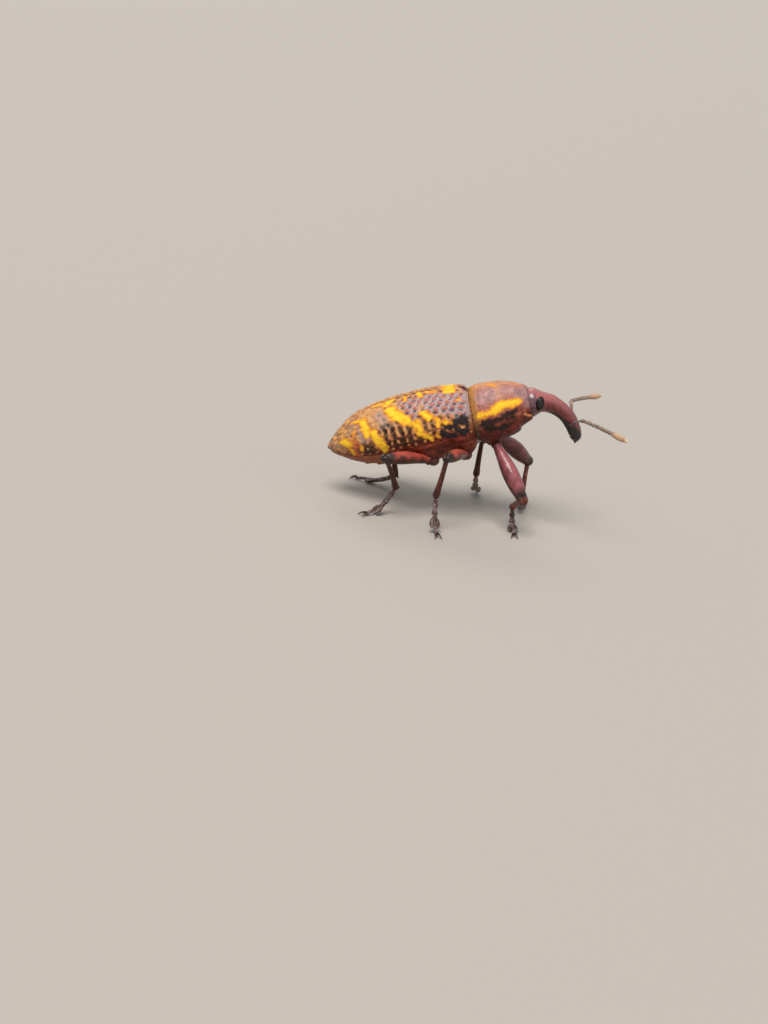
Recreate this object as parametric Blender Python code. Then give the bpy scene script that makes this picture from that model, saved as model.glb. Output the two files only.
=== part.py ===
"""A large snout weevil with a long body, modelled still and at life size.

The body has its own frame: s runs forward along it, y to its left and t up from
its back. That frame starts at the join between the fore-body and the wing cases,
and is pitched up at the head. The legs are set out from angles in the world's
frame, whose floor is at height 0. Lengths are in metres.
"""

import math

import bmesh
import bpy
import numpy as np

MM = 0.001
GAP = 0.3 * MM

# Place of the body on its legs
JOIN = np.array((-0.9, 0.0, 10.4)) * MM
PITCH = math.radians(21.5)
FORWARD = np.array((math.cos(PITCH), 0.0, math.sin(PITCH)))
LEFT = np.array((0.0, 1.0, 0.0))
UPWARD = np.array((-math.sin(PITCH), 0.0, math.cos(PITCH)))
HANDS = {"right": -1, "left": 1}

# Trunk outline, in mm: place along the body, half width, height of back, height of belly
HIND_BODY = (
    (-14.80, 0.16, -0.08, -0.42),
    (-14.50, 0.58, 0.27, -0.78),
    (-13.50, 1.42, 1.22, -1.50),
    (-12.00, 2.38, 2.28, -2.28),
    (-10.20, 3.06, 2.93, -2.83),
    (-8.00, 3.50, 3.35, -3.20),
    (-6.00, 3.68, 3.50, -3.35),
    (-4.00, 3.72, 3.60, -3.40),
    (-2.00, 3.64, 3.48, -3.45),
    (-0.70, 3.48, 3.30, -3.32),
    (-0.10, 3.22, 3.10, -3.02),
    (0.20, 2.92, 2.84, -2.82),
)
PROTHORAX = (
    (0.50, 2.86, 2.78, -2.76),
    (0.80, 3.04, 2.95, -2.93),
    (1.50, 3.12, 3.06, -3.00),
    (2.60, 3.04, 3.00, -2.86),
    (4.00, 2.66, 2.76, -2.36),
    (5.00, 2.26, 2.42, -1.88),
    (5.60, 2.00, 2.14, -1.62),
    (6.05, 1.76, 1.88, -1.43),
)

# Head and snout, in mm: place along the body, height, half height, half width
HEAD = (
    (6.35, 0.18, 1.50, 1.54),
    (6.60, 0.14, 1.35, 1.44),
    (6.92, 0.08, 1.15, 1.29),
    (7.25, -0.01, 1.01, 1.12),
    (7.60, -0.12, 0.95, 0.96),
)
SNOUT = (
    (7.87, -0.24, 0.93, 0.84),
    (8.50, -0.79, 0.84, 0.73),
    (9.00, -1.37, 0.78, 0.68),
    (9.37, -1.98, 0.75, 0.67),
    (9.60, -2.62, 0.72, 0.69),
    (9.76, -3.25, 0.70, 0.72),
    (9.82, -3.80, 0.65, 0.74),
    (9.80, -4.25, 0.56, 0.68),
    (9.75, -4.52, 0.36, 0.46),
)
# Jaws, from the snout's last place: root and point, in mm along s, y and t
JAW_ROOT = (0.05, 0.24, 0.30)
JAW_POINT = (-0.10, 0.12, -0.275)
JAW_RADIUS = 0.26 * MM
JAW_TAPER = (1.0, 0.95, 0.75, 0.3)

# Wing cases: their lower edge, in mm: place along the body, height
CASE_EDGE = ((-14.80, -0.40), (-12.80, -1.10), (-10.50, -1.25), (-6.00, -1.10), (-2.00, -0.86), (0.20, -1.10))
RIBS_A_CASE = 10
RIB_HEIGHT = 0.045 * MM

# Underside: it ends in front of the tip, and is parted behind the hind hips
BELLY_END = -14.0 * MM
CHEST_END = -5.4 * MM
RINGS_OF_BELLY = (-7.4, -8.9, -10.1, -11.3)
RING_GROOVE = 0.09 * MM
RING_GROOVE_REACH = 0.18

# Eyes: centre, then half sizes, along s, y and t
EYE_PLACE = np.array((6.95, 1.02, 0.14)) * MM
EYE_SIZE = np.array((0.38, 0.36, 0.69)) * MM

# Feelers, in mm: root in the snout's side, then joints of each, in s, y and t
FEELER_ROOT_HEIGHT = -2.70
FEELERS = {
    "right": ((10.87, -2.90, -1.91), (13.30, -3.40, -3.57), (14.72, -3.70, -4.67)),
    "left": ((10.02, 2.60, -1.22), (11.84, 4.60, -1.76), (13.23, 6.00, -2.22)),
}
SCAPE_RADIUS = 0.27 * MM
FUNICLE_RADIUS = 0.26 * MM
CLUB_RADIUS = 0.37 * MM
FUNICLE_BEADS = 7
BEAD_SWELL = 1.14
# The stalk stops short of the elbow and the beads start past it, as shares of each line
STALK_END = 0.88
BEADS_START = 0.08
STALK_TAPER = (0.97, 0.97, 1.0, 1.06, 1.15)
CLUB_PLACES = (0.15, 0.35, 0.6, 0.82, 0.95, 1.0)
CLUB_TAPER = (0.85, 1.0, 0.97, 0.66, 0.36, 0.12)

# Legs: hip place in mm (s, y, t), hip radius, then the lengths of femur, tibia and foot
LEGS = {
    "front": ((1.75, 0.82, -2.45), 0.85 * MM, 7.1 * MM, 4.6 * MM, 4.2 * MM),
    "mid": ((-1.10, 1.85, -3.30), 0.58 * MM, 5.0 * MM, 4.2 * MM, 4.2 * MM),
    "hind": ((-4.40, 2.40, -3.04), 0.62 * MM, 5.9 * MM, 4.7 * MM, 4.4 * MM),
}
# Pose, in degrees: azimuth and elevation of femur and of tibia, then the foot's azimuth
POSE = {
    ("front", "right"): (-44.5, -41.5, 98, -29, -84),
    ("front", "left"): (45, -30, -91, -58, 84),
    ("mid", "right"): (-114, 8, 134, -82, -72),
    ("mid", "left"): (70, -2, -92, -72, 80),
    ("hind", "right"): (-144, 4.5, 60, -51, -141),
    ("hind", "left"): (144, -2, -50, -65, 168),
}
# Limb radii, in mm, at fractions of their length
FEMUR_SHAPE = {
    "front": ((0.0, 0.36), (0.3, 0.66), (0.62, 0.86), (0.86, 0.70), (1.0, 0.58)),
    "mid": ((0.0, 0.34), (0.3, 0.46), (0.62, 0.60), (0.86, 0.52), (1.0, 0.47)),
    "hind": ((0.0, 0.34), (0.3, 0.46), (0.62, 0.64), (0.86, 0.55), (1.0, 0.48)),
}
TIBIA_SHAPE = ((0.0, 0.30), (0.15, 0.27), (0.6, 0.28), (0.9, 0.34), (1.0, 0.36))
KNEE_RADIUS = 0.50 * MM
ANKLE_RADIUS = 0.36 * MM
# Sections of the round end past a joint, as shares of a quarter circle
END_STEPS = (0.0, 0.45, 0.75, 0.92)
SPUR_LENGTH = 0.45 * MM
SPUR_RADIUS = 0.16 * MM
SPUR_ROOT = 0.1
SPUR_LEAN = 0.5
SPUR_TAPER = (1.0, 0.9, 0.65, 0.25)

# Foot, in mm: half width and half height at fractions of its length, three pads and a claw joint
FOOT_SHAPE = (
    (0.00, 0.25, 0.25),
    (0.20, 0.34, 0.28),
    (0.26, 0.25, 0.25),
    (0.42, 0.38, 0.28),
    (0.48, 0.27, 0.25),
    (0.62, 0.40, 0.28),
    (0.70, 0.26, 0.25),
    (1.00, 0.26, 0.25),
)
# Where the foot's line bends to the floor, and further sections that it needs
FOOT_BEND = 0.42
FOOT_MORE_PLACES = (0.1, 0.34, 0.85)
LOBE_SIZE = np.array((0.50, 0.27, 0.24)) * MM
LOBE_PLACE = 0.64
LOBE_SPREAD = 0.30 * MM
CLAW_LENGTH = 0.85 * MM
CLAW_RADIUS = 0.17 * MM
CLAW_SPREAD = 24
CLAW_SET_BACK = 0.20 * MM
CLAW_RISE = 0.12 * MM
CLAW_DROP = 0.10 * MM
CLAW_TAPER = 0.72
SOLE_DEPTH = 0.18 * MM
BLOCK_SIZE = 40 * MM

COLOURS = {
    "case": ((0.23, 0.055, 0.040), 0.36),
    "belly": ((0.10, 0.018, 0.012), 0.35),
    "chest": ((0.12, 0.022, 0.015), 0.35),
    "fore_body": ((0.20, 0.040, 0.030), 0.38),
    "head": ((0.19, 0.030, 0.028), 0.30),
    "snout": ((0.15, 0.020, 0.022), 0.25),
    "eye": ((0.008, 0.008, 0.010), 0.12),
    "feeler": ((0.16, 0.075, 0.050), 0.60),
    "femur": ((0.26, 0.045, 0.045), 0.28),
    "tibia": ((0.060, 0.018, 0.015), 0.40),
    "foot": ((0.040, 0.020, 0.016), 0.60),
}


def curve(rows, column, at):
    """Smooth curve through a table's rows, read at one or many places."""
    table = np.array(rows, float)
    places = table[:, 0]
    values = table[:, column]
    slopes = np.gradient(values, places)
    i = np.clip(np.searchsorted(places, at) - 1, 0, len(places) - 2)
    step = places[i + 1] - places[i]
    u = np.clip((at - places[i]) / step, 0, 1)
    rise = values[i] * (1 + 2 * u) * (1 - u) ** 2 + values[i + 1] * (3 - 2 * u) * u**2
    bend = slopes[i] * u * (1 - u) ** 2 + slopes[i + 1] * (u - 1) * u**2
    return rise + step * bend


def unit(vectors):
    return vectors / np.linalg.norm(vectors, axis=-1, keepdims=True)


def to_world(s, y, t):
    """World places of points given in the body's frame, all in metres."""
    s, y, t = np.broadcast_arrays(s, y, t)
    return JOIN + s[..., None] * FORWARD + y[..., None] * LEFT + t[..., None] * UPWARD


def heading(azimuth, elevation):
    """Unit vector at an azimuth and an elevation in degrees."""
    a = math.radians(azimuth)
    e = math.radians(elevation)
    return np.array((math.cos(e) * math.cos(a), math.cos(e) * math.sin(a), math.sin(e)))


def material(name):
    colour, roughness = COLOURS[name]
    made = bpy.data.materials.get(name) or bpy.data.materials.new(name)
    made.use_nodes = True
    shader = made.node_tree.nodes["Principled BSDF"]
    shader.inputs["Base Color"].default_value = (*colour, 1.0)
    shader.inputs["Roughness"].default_value = roughness
    shader.inputs["Metallic"].default_value = 0.0
    return made


def finish(name, vertices, faces, colour):
    """Closed object from vertices and faces, with its faces turned outward."""
    mesh = bpy.data.meshes.new(name)
    mesh.from_pydata([tuple(v) for v in vertices], [], faces)
    work = bmesh.new()
    work.from_mesh(mesh)
    bmesh.ops.recalc_face_normals(work, faces=work.faces)
    work.to_mesh(mesh)
    work.free()
    mesh.materials.append(material(colour))
    mesh.shade_smooth()
    made = bpy.data.objects.new(name, mesh)
    bpy.context.scene.collection.objects.link(made)
    return made


def loft(name, rings, colour):
    """Closed solid through rings of equal count, with a flat face at each end."""
    count, around = rings.shape[:2]
    faces = [tuple(range(around)), tuple((count - 1) * around + k for k in range(around))]
    for i in range(count - 1):
        for k in range(around):
            j = (k + 1) % around
            faces.append((i * around + k, i * around + j, (i + 1) * around + j, (i + 1) * around + k))
    return finish(name, rings.reshape(-1, 3), faces, colour)


def tube(name, path, half_widths, half_heights, across, sides, colour):
    """Solid along a path, with elliptical sections; across points along their width."""
    along = unit(np.gradient(path, axis=0))
    height = unit(np.cross(along, across))
    width = np.cross(height, along)
    turn = 2 * np.pi * (np.arange(sides) + 0.5) / sides
    rings = (
        path[:, None]
        + width[:, None] * (half_widths[:, None] * np.cos(turn))[..., None]
        + height[:, None] * (half_heights[:, None] * np.sin(turn))[..., None]
    )
    return loft(name, rings, colour)


def ball(name, centre, half_sizes, colour, detail=2):
    """Ellipsoid with its half sizes along the body's own axes."""
    work = bmesh.new()
    bmesh.ops.create_icosphere(work, subdivisions=detail, radius=1.0)
    points = np.array([v.co for v in work.verts]) * half_sizes
    faces = [tuple(v.index for v in face.verts) for face in work.faces]
    work.free()
    return finish(name, centre + points @ np.array((FORWARD, LEFT, UPWARD)), faces, colour)


def combine(target, others, operation, solver="EXACT"):
    """Union with, or difference from, closed objects, which are then removed."""
    tools = bpy.data.collections.new("tools")
    for other in others:
        tools.objects.link(other)
    modifier = target.modifiers.new("join", "BOOLEAN")
    modifier.operation = operation
    modifier.operand_type = "COLLECTION"
    modifier.collection = tools
    modifier.solver = solver
    evaluated = target.evaluated_get(bpy.context.evaluated_depsgraph_get())
    mesh = bpy.data.meshes.new_from_object(evaluated)
    target.modifiers.clear()
    target.data = mesh
    for other in list(others):
        bpy.data.objects.remove(other)
    bpy.data.collections.remove(tools)
    keep_largest(target)
    return target


def keep_largest(made):
    """Leaves only the largest closed surface of an object."""
    work = bmesh.new()
    work.from_mesh(made.data)
    left = set(work.verts)
    shells = []
    while left:
        shell = set()
        reached = [left.pop()]
        while reached:
            vertex = reached.pop()
            shell.add(vertex)
            near = [edge.other_vert(vertex) for edge in vertex.link_edges]
            new = [other for other in near if other in left]
            left.difference_update(new)
            reached.extend(new)
        shells.append(shell)
    shells.sort(key=len)
    for shell in shells[:-1]:
        bmesh.ops.delete(work, geom=list(shell), context="VERTS")
    work.to_mesh(made.data)
    work.free()


def section(rows, s, angle):
    """Points of the trunk at places s, at angles from the middle of the back."""
    width = curve(rows, 1, s / MM) * MM
    back = curve(rows, 2, s / MM) * MM
    belly = curve(rows, 3, s / MM) * MM
    middle = (back + belly) / 2
    reach = (back - belly) / 2
    return width * np.sin(angle), middle + reach * np.cos(angle)


def edge_angle(s, height):
    """Angle from the back at which the hind body's side reaches a height."""
    back = curve(HIND_BODY, 2, s / MM) * MM
    belly = curve(HIND_BODY, 3, s / MM) * MM
    return np.arccos(np.clip((2 * height - back - belly) / (back - belly), -0.97, 0.97))


def stations(first, last, count):
    """Places along the body, closer together near both ends."""
    return first + (last - first) * (1 - np.cos(np.pi * np.arange(count) / (count - 1))) / 2


def wing_case(side):
    """One ribbed wing case: a quarter of the hind body, flat below and at the seam."""
    s = stations(HIND_BODY[0][0] * MM, HIND_BODY[-1][0] * MM, 28)[:, None]
    edge = curve(CASE_EDGE, 1, s / MM) * MM
    seam = np.arcsin(np.clip(GAP / 2 / (curve(HIND_BODY, 1, s / MM) * MM), 0, 0.95))
    steps = np.arange(2 * RIBS_A_CASE + 1)
    angle = seam + (edge_angle(s, edge) - seam) * steps / steps[-1]
    y, t = section(HIND_BODY, s, angle)
    fade = np.clip((s - s[0]) / (3 * MM), 0, 1) * np.clip((s[-1] - s) / (1 * MM), 0, 1)
    rib = RIB_HEIGHT * fade * np.where(steps % 2, 1, -1) * (steps < steps[-1]) * (steps > 0)
    y = y + rib * np.sin(angle)
    t = t + rib * np.cos(angle)
    rows = np.concatenate((to_world(s, HANDS[side] * y, t), to_world(s, HANDS[side] * GAP / 2, edge)), axis=1)
    return loft("elytron_" + side, rows, "case")


def underside(name, first, last, count, colour):
    """Part of the hind body below the wing cases."""
    s = stations(first, last, count)[:, None]
    edge = curve(CASE_EDGE, 1, s / MM) * MM - GAP
    start = edge_angle(s, edge)
    angle = start + (2 * np.pi - 2 * start) * np.arange(19) / 18
    y, t = section(HIND_BODY, s, angle)
    groove = sum(np.exp(-(((s / MM - place) / RING_GROOVE_REACH) ** 2)) for place in RINGS_OF_BELLY)
    t = t + RING_GROOVE * groove * (angle > start) * (angle < 2 * np.pi - start)
    return loft(name, to_world(s, y, t), colour)


def hip_centre(pair, side):
    place = np.array(LEGS[pair][0]) * MM
    return to_world(place[0], HANDS[side] * place[1], place[2])


def with_hips(body, pairs, colour):
    """Body with the round hips of the pairs of legs that it bears."""
    hips = []
    for pair in pairs:
        for side in HANDS:
            size = np.full(3, LEGS[pair][1])
            hips.append(ball("hip", hip_centre(pair, side), size, colour))
    return combine(body, hips, "UNION")


def fore_body():
    s = stations(PROTHORAX[0][0] * MM, PROTHORAX[-1][0] * MM, 14)[:, None]
    angle = 2 * np.pi * np.arange(26) / 26
    y, t = section(PROTHORAX, s, angle)
    return with_hips(loft("prothorax", to_world(s, y, t), "fore_body"), ["front"], "fore_body")


def bent_piece(name, rows, count, colour):
    """Head or snout: sections square to a centre line that bends down."""
    places = np.linspace(0, len(rows) - 1, count)
    table = [(i, *row) for i, row in enumerate(rows)]
    s, t, height, width = (curve(table, column, places) * MM for column in (1, 2, 3, 4))
    return tube(name, to_world(s, 0, t), width, height, LEFT, 18, colour)


def head():
    """Head with a pocket on each side for the eye."""
    made = bent_piece("head", HEAD, 9, "head")
    pockets = [ball("pocket", eye_centre(side), EYE_SIZE + GAP, "head") for side in HANDS]
    return combine(made, pockets, "DIFFERENCE")


def snout():
    """Snout with two short jaws at its tip."""
    made = bent_piece("rostrum", SNOUT, 17, "snout")
    last = np.array((SNOUT[-1][0], 0.0, SNOUT[-1][1]))
    jaws = []
    for hand in HANDS.values():
        mirror = np.array((1, hand, 1))
        root, point = (to_world(*(last + mirror * place) * MM) for place in (JAW_ROOT, JAW_POINT))
        path = root + (point - root) * np.linspace(0, 1, len(JAW_TAPER))[:, None]
        size = JAW_RADIUS * np.array(JAW_TAPER)
        jaws.append(tube("jaw", path, size, size, LEFT, 8, "snout"))
    return combine(made, jaws, "UNION")


def eye_centre(side):
    return to_world(EYE_PLACE[0], HANDS[side] * EYE_PLACE[1], EYE_PLACE[2])


def feeler(side):
    """Elbowed feeler: a stalk, a string of seven beads and a pointed club."""
    heights = [-row[1] for row in SNOUT]
    s = np.interp(-FEELER_ROOT_HEIGHT, heights, [row[0] for row in SNOUT])
    width = np.interp(-FEELER_ROOT_HEIGHT, heights, [row[3] for row in SNOUT])
    root = np.array((s, HANDS[side] * width, FEELER_ROOT_HEIGHT))
    elbow, club, tip = (np.array(joint) for joint in FEELERS[side])
    root = root + unit(elbow - root) * GAP / MM
    stalk = root + (elbow - root) * np.linspace(0, STALK_END, len(STALK_TAPER))[:, None]
    corner = elbow + (club - elbow) * BEADS_START
    rank = np.arange(2 * FUNICLE_BEADS + 1)
    beads = corner + (club - corner) * (rank / rank[-1])[:, None]
    end = club + (tip - club) * np.array(CLUB_PLACES)[:, None]
    path = np.concatenate((stalk, beads, end)) * MM
    bead_size = FUNICLE_RADIUS * np.where(rank % 2, BEAD_SWELL, 1.0)
    stalk_size, club_size = SCAPE_RADIUS * np.array(STALK_TAPER), CLUB_RADIUS * np.array(CLUB_TAPER)
    size = np.concatenate((stalk_size, bead_size, club_size))
    return tube("antenna_" + side, to_world(*path.T), size, size, UPWARD, 8, "feeler")


def limb(name, root, end, shape, colour):
    """Straight limb from a flat root face to a rounded end that reaches past its joint."""
    length = np.linalg.norm(end - root)
    last = shape[-1][1] * MM
    bend = np.pi / 2 * np.array(END_STEPS)
    near = np.array(shape)[:, 0]
    near = np.unique(np.concatenate((near, (near[1:] + near[:-1]) / 2)))
    places = np.concatenate((near[:-1] * length, length + last * np.sin(bend)))
    size = np.concatenate((curve(shape, 1, near[:-1]) * MM, last * np.cos(bend)))
    path = root + unit(end - root) * places[:, None]
    across = np.cross(unit(end - root), (0.0, 0.0, 1.0))
    return tube(name, path, size, size, across, 10, colour)


def foot_path(ankle, azimuth, length):
    """Curve from the ankle down to the floor and along it, of the foot's length."""
    reach = (0.0, length)
    turn = np.linspace(0, 1, 25)[:, None]
    floor = np.array((1.0, 1.0, 0.0))
    for _ in range(30):
        middle = sum(reach) / 2
        toe = (ankle + heading(azimuth, 0) * middle) * floor + np.array((0, 0, SOLE_DEPTH))
        bend = (ankle + heading(azimuth, 0) * middle * FOOT_BEND) * floor + np.array((0, 0, SOLE_DEPTH))
        path = ankle * (1 - turn) ** 2 + 2 * bend * turn * (1 - turn) + toe * turn**2
        run = np.linalg.norm(np.diff(path, axis=0), axis=1).sum()
        reach = (middle, reach[1]) if run < length else (reach[0], middle)
    return path


def foot(name, ankle, azimuth, length):
    """Foot of three pads, the last with two lobes, and a claw joint with two claws."""
    line = foot_path(ankle, azimuth, length)
    run = np.concatenate(((0,), np.cumsum(np.linalg.norm(np.diff(line, axis=0), axis=1))))
    start = (ANKLE_RADIUS + GAP) / run[-1]
    shape = np.array(FOOT_SHAPE)
    place = np.unique(np.concatenate((shape[:, 0], FOOT_MORE_PLACES)))
    distance = (start + place * (1 - start)) * run[-1]
    path = np.stack([np.interp(distance, run, line[:, k]) for k in range(3)], axis=1)
    across = np.cross(heading(azimuth, 0), (0.0, 0.0, 1.0))
    width, height = (curve(FOOT_SHAPE, column, place) * MM for column in (1, 2))
    made = tube(name, path, width, height, across, 8, "foot")
    lobe_at = np.array([np.interp(LOBE_PLACE * run[-1], run, line[:, k]) for k in range(3)])
    ahead = np.array([np.interp((LOBE_PLACE + 0.1) * run[-1], run, line[:, k]) for k in range(3)])
    pieces = [lobe(lobe_at, unit(ahead - lobe_at), across, hand) for hand in HANDS.values()]
    pieces += [claw(path[-1], azimuth, hand) for hand in HANDS.values()]
    combine(made, pieces, "UNION", "MANIFOLD")
    return combine(made, [floor_block()], "DIFFERENCE", "MANIFOLD")


def lobe(centre, ahead, across, hand):
    """One half of the broad third pad."""
    turn = np.pi * np.linspace(0.08, 0.92, 6)
    path = centre + hand * LOBE_SPREAD * across - ahead * (LOBE_SIZE[0] * np.cos(turn))[:, None]
    return tube("lobe", path, LOBE_SIZE[1] * np.sin(turn), LOBE_SIZE[2] * np.sin(turn), across, 7, "foot")


def claw(root, azimuth, hand):
    """Curved claw that spreads from the foot's end and comes down to the floor."""
    turn = np.linspace(0, 1, 5)[:, None]
    out = heading(azimuth + hand * CLAW_SPREAD, 0)
    back = root - heading(azimuth, 0) * CLAW_SET_BACK
    rise = np.array((0, 0, CLAW_RISE)) * np.sin(np.pi * turn)
    drop = np.array((0, 0, CLAW_DROP)) * turn**2
    path = back + out * CLAW_LENGTH * turn + rise - drop
    size = CLAW_RADIUS * (1 - CLAW_TAPER * turn[:, 0] ** 1.5)
    across = np.cross(out, (0.0, 0.0, 1.0))
    return tube("claw", path, size, size, across, 6, "foot")


def floor_block():
    """Block below the floor, which flattens what comes down to it."""
    work = bmesh.new()
    bmesh.ops.create_cube(work, size=1.0)
    points = (np.array([v.co for v in work.verts]) - (0.0, 0.0, 0.5)) * BLOCK_SIZE
    faces = [tuple(v.index for v in face.verts) for face in work.faces]
    work.free()
    return finish("floor", points, faces, "foot")


def spur(ankle, along, bend):
    """Inward hook at the end of a tibia."""
    root = ankle + along * ANKLE_RADIUS * SPUR_ROOT
    path = root + (unit(along * SPUR_LEAN + bend) * SPUR_LENGTH) * np.linspace(0, 1, len(SPUR_TAPER))[:, None]
    size = SPUR_RADIUS * np.array(SPUR_TAPER)
    return tube("spur", path, size, size, np.cross(along, bend), 6, "tibia")


def leg(pair, side):
    """Femur, tibia and foot, set out from the hip by the angles of the pose."""
    _, hip_radius, femur_length, tibia_length, foot_length = LEGS[pair]
    femur_turn, femur_rise, tibia_turn, tibia_rise, foot_turn = POSE[pair, side]
    hip = hip_centre(pair, side)
    thigh = heading(femur_turn, femur_rise)
    shin = heading(tibia_turn, tibia_rise)
    knee = hip + thigh * femur_length
    ankle = knee + shin * tibia_length
    name = f"{pair}_{side}"
    limb("femur_" + name, hip + thigh * (hip_radius + GAP), knee, FEMUR_SHAPE[pair], "femur")
    shank = limb("tibia_" + name, knee + shin * (KNEE_RADIUS + GAP), ankle, TIBIA_SHAPE, "tibia")
    inward = unit(-thigh - shin * np.dot(-thigh, shin))
    combine(shank, [spur(ankle, shin, inward)], "UNION")
    foot("tarsus_" + name, ankle, foot_turn, foot_length)


def build():
    for old in list(bpy.data.objects):
        bpy.data.objects.remove(old)
    chest = underside("metathorax", CHEST_END + GAP / 2, HIND_BODY[-1][0] * MM, 11, "chest")
    with_hips(chest, ["mid", "hind"], "chest")
    underside("abdomen", BELLY_END, CHEST_END - GAP / 2, 22, "belly")
    fore_body()
    head()
    snout()
    for side in HANDS:
        wing_case(side)
        ball("eye_" + side, eye_centre(side), EYE_SIZE, "eye")
        feeler(side)
        for pair in LEGS:
            leg(pair, side)


build()
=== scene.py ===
# %% [markdown]
# # A long-bodied snout weevil, dressed on its packed frame
# The frame holds plain solids: wing cases, underside, fore-body, head, snout, eyes,
# feelers and six legs. This lesson lays a finely modelled skin over each of them
# and gives each skin a finish made of nodes. Every skin is a formula of two
# numbers, one that runs along the form and one that runs round it.

# %% Open the frame
import math

import bmesh
import bpy
import numpy as np
from mathutils import Matrix


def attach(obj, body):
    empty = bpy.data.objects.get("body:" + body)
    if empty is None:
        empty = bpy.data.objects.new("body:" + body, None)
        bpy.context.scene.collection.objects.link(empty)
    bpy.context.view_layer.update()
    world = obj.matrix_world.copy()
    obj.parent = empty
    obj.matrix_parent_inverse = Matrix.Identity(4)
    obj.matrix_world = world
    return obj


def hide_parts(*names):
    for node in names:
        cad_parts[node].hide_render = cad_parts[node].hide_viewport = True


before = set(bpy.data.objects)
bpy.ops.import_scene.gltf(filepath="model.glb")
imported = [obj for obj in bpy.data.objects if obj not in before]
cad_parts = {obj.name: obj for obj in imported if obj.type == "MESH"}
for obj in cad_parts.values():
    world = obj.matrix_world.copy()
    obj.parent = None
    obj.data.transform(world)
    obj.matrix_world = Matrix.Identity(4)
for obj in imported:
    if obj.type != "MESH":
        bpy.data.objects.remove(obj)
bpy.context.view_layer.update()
MM = 0.001

# %% [markdown]
# ## The body's own frame
# The weevil stands with its head raised, so its body is easier to describe in a
# frame of its own: s runs forward from the join between fore-body and wing cases,
# y runs to its left and t runs up from its back. Lengths are in millimetres until
# a mesh is made.

# %% Places along the body
JOIN = np.array((-0.9, 0.0, 10.4))
PITCH = math.radians(21.5)
FORWARD = np.array((math.cos(PITCH), 0.0, math.sin(PITCH)))
LEFT = np.array((0.0, 1.0, 0.0))
UPWARD = np.array((-math.sin(PITCH), 0.0, math.cos(PITCH)))
SKY = np.array((0.0, 0.0, 1.0))
HANDS = {"right": -1, "left": 1}
SINES = 5


def to_world(s, y, t):
    """World place = join + s·forward + y·left + t·upward."""
    s, y, t = np.broadcast_arrays(s, y, t)
    return JOIN + s[..., None] * FORWARD + y[..., None] * LEFT + t[..., None] * UPWARD


def unit(vectors):
    """Each vector divided by its length."""
    return vectors / np.maximum(np.linalg.norm(vectors, axis=-1, keepdims=True), 1e-12)


def curve(rows, column, at):
    """Cubic through a table's rows, with the slope at each row taken from its neighbours."""
    table = np.array(rows, float)
    places, values = table[:, 0], table[:, column]
    slopes = np.gradient(values, places)
    i = np.clip(np.searchsorted(places, at) - 1, 0, len(places) - 2)
    step = places[i + 1] - places[i]
    u = np.clip((at - places[i]) / step, 0, 1)
    rise = values[i] * (1 + 2 * u) * (1 - u) ** 2 + values[i + 1] * (3 - 2 * u) * u**2
    return rise + step * (slopes[i] * u * (1 - u) ** 2 + slopes[i + 1] * (u - 1) * u**2)


def stations(first, last, count):
    """Places from first to last, closer together at both ends: half a cosine wave."""
    return first + (last - first) * (1 - np.cos(np.pi * np.arange(count) / (count - 1))) / 2


def ease(value, low, high):
    """Smooth step from 0 at low to 1 at high: 3u² − 2u³."""
    u = np.clip((value - low) / (high - low), 0, 1)
    return u * u * (3 - 2 * u)


def hump(value, middle, reach):
    """Bell of height 1: exp(−((value − middle) / reach)²)."""
    return np.exp(-(((value - middle) / reach) ** 2))


def arch(u):
    """Half a sine wave, from 0 at u = 0 over 1 at the middle to 0 at u = 1."""
    return np.sin(np.pi * u)


def ripple(x, z, size):
    """Gentle unevenness from −1 to 1: the mean of sines across the place, each at its own slant."""
    total = np.zeros(np.broadcast(x, z).shape)
    for k in range(SINES):
        slant = 1.1 + 2.4 * k
        total += np.sin((x * math.cos(slant) + z * math.sin(slant)) * (5.5 + 0.8 * k) / size + 1.7 * k)
    return total / SINES


print("the head end is raised by", round(math.degrees(PITCH), 1), "degrees")

# %% [markdown]
# ## The camera
# The camera stands at the animal's right, looks down a little and is rolled. Its
# place follows from one point: the join of the body shows at a known pixel, at
# the depth where a pixel spans a tenth of a millimetre.

# %% Camera
LENS = 60.0
SENSOR = 36
PICTURE = (768, 1024)
MM_IN_A_PIXEL = 0.1
FOCUS_PIXELS = LENS / SENSOR * PICTURE[1]
DEPTH = MM_IN_A_PIXEL * FOCUS_PIXELS
LOOKS_DOWN = math.radians(19.5)
ROLL = math.radians(9.5)
JOIN_PIXEL = (471, 416)
NEAREST, FARTHEST = 0.005, 50

gaze = np.array((0, math.cos(LOOKS_DOWN), -math.sin(LOOKS_DOWN)))
upright = np.array((0, math.sin(LOOKS_DOWN), math.cos(LOOKS_DOWN)))
level = np.array((1.0, 0.0, 0.0))
rightward = math.cos(ROLL) * level + math.sin(ROLL) * upright
skyward = math.cos(ROLL) * upright - math.sin(ROLL) * level
to_right = (JOIN_PIXEL[0] - PICTURE[0] / 2) / FOCUS_PIXELS
to_top = (PICTURE[1] / 2 - JOIN_PIXEL[1]) / FOCUS_PIXELS
camera_place = JOIN - DEPTH * (gaze + to_right * rightward + to_top * skyward)

camera = bpy.data.objects.new("camera", bpy.data.cameras.new("camera"))
bpy.context.scene.collection.objects.link(camera)
camera.data.lens = LENS
camera.data.sensor_width = SENSOR
camera.data.clip_start, camera.data.clip_end = NEAREST, FARTHEST
axes = np.column_stack((rightward, skyward, -gaze, camera_place * MM))
camera.matrix_world = Matrix(np.vstack((axes, (0, 0, 0, 1))).tolist())
bpy.context.scene.camera = camera
print("the camera is", round(DEPTH), "mm from the join of the body")

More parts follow.
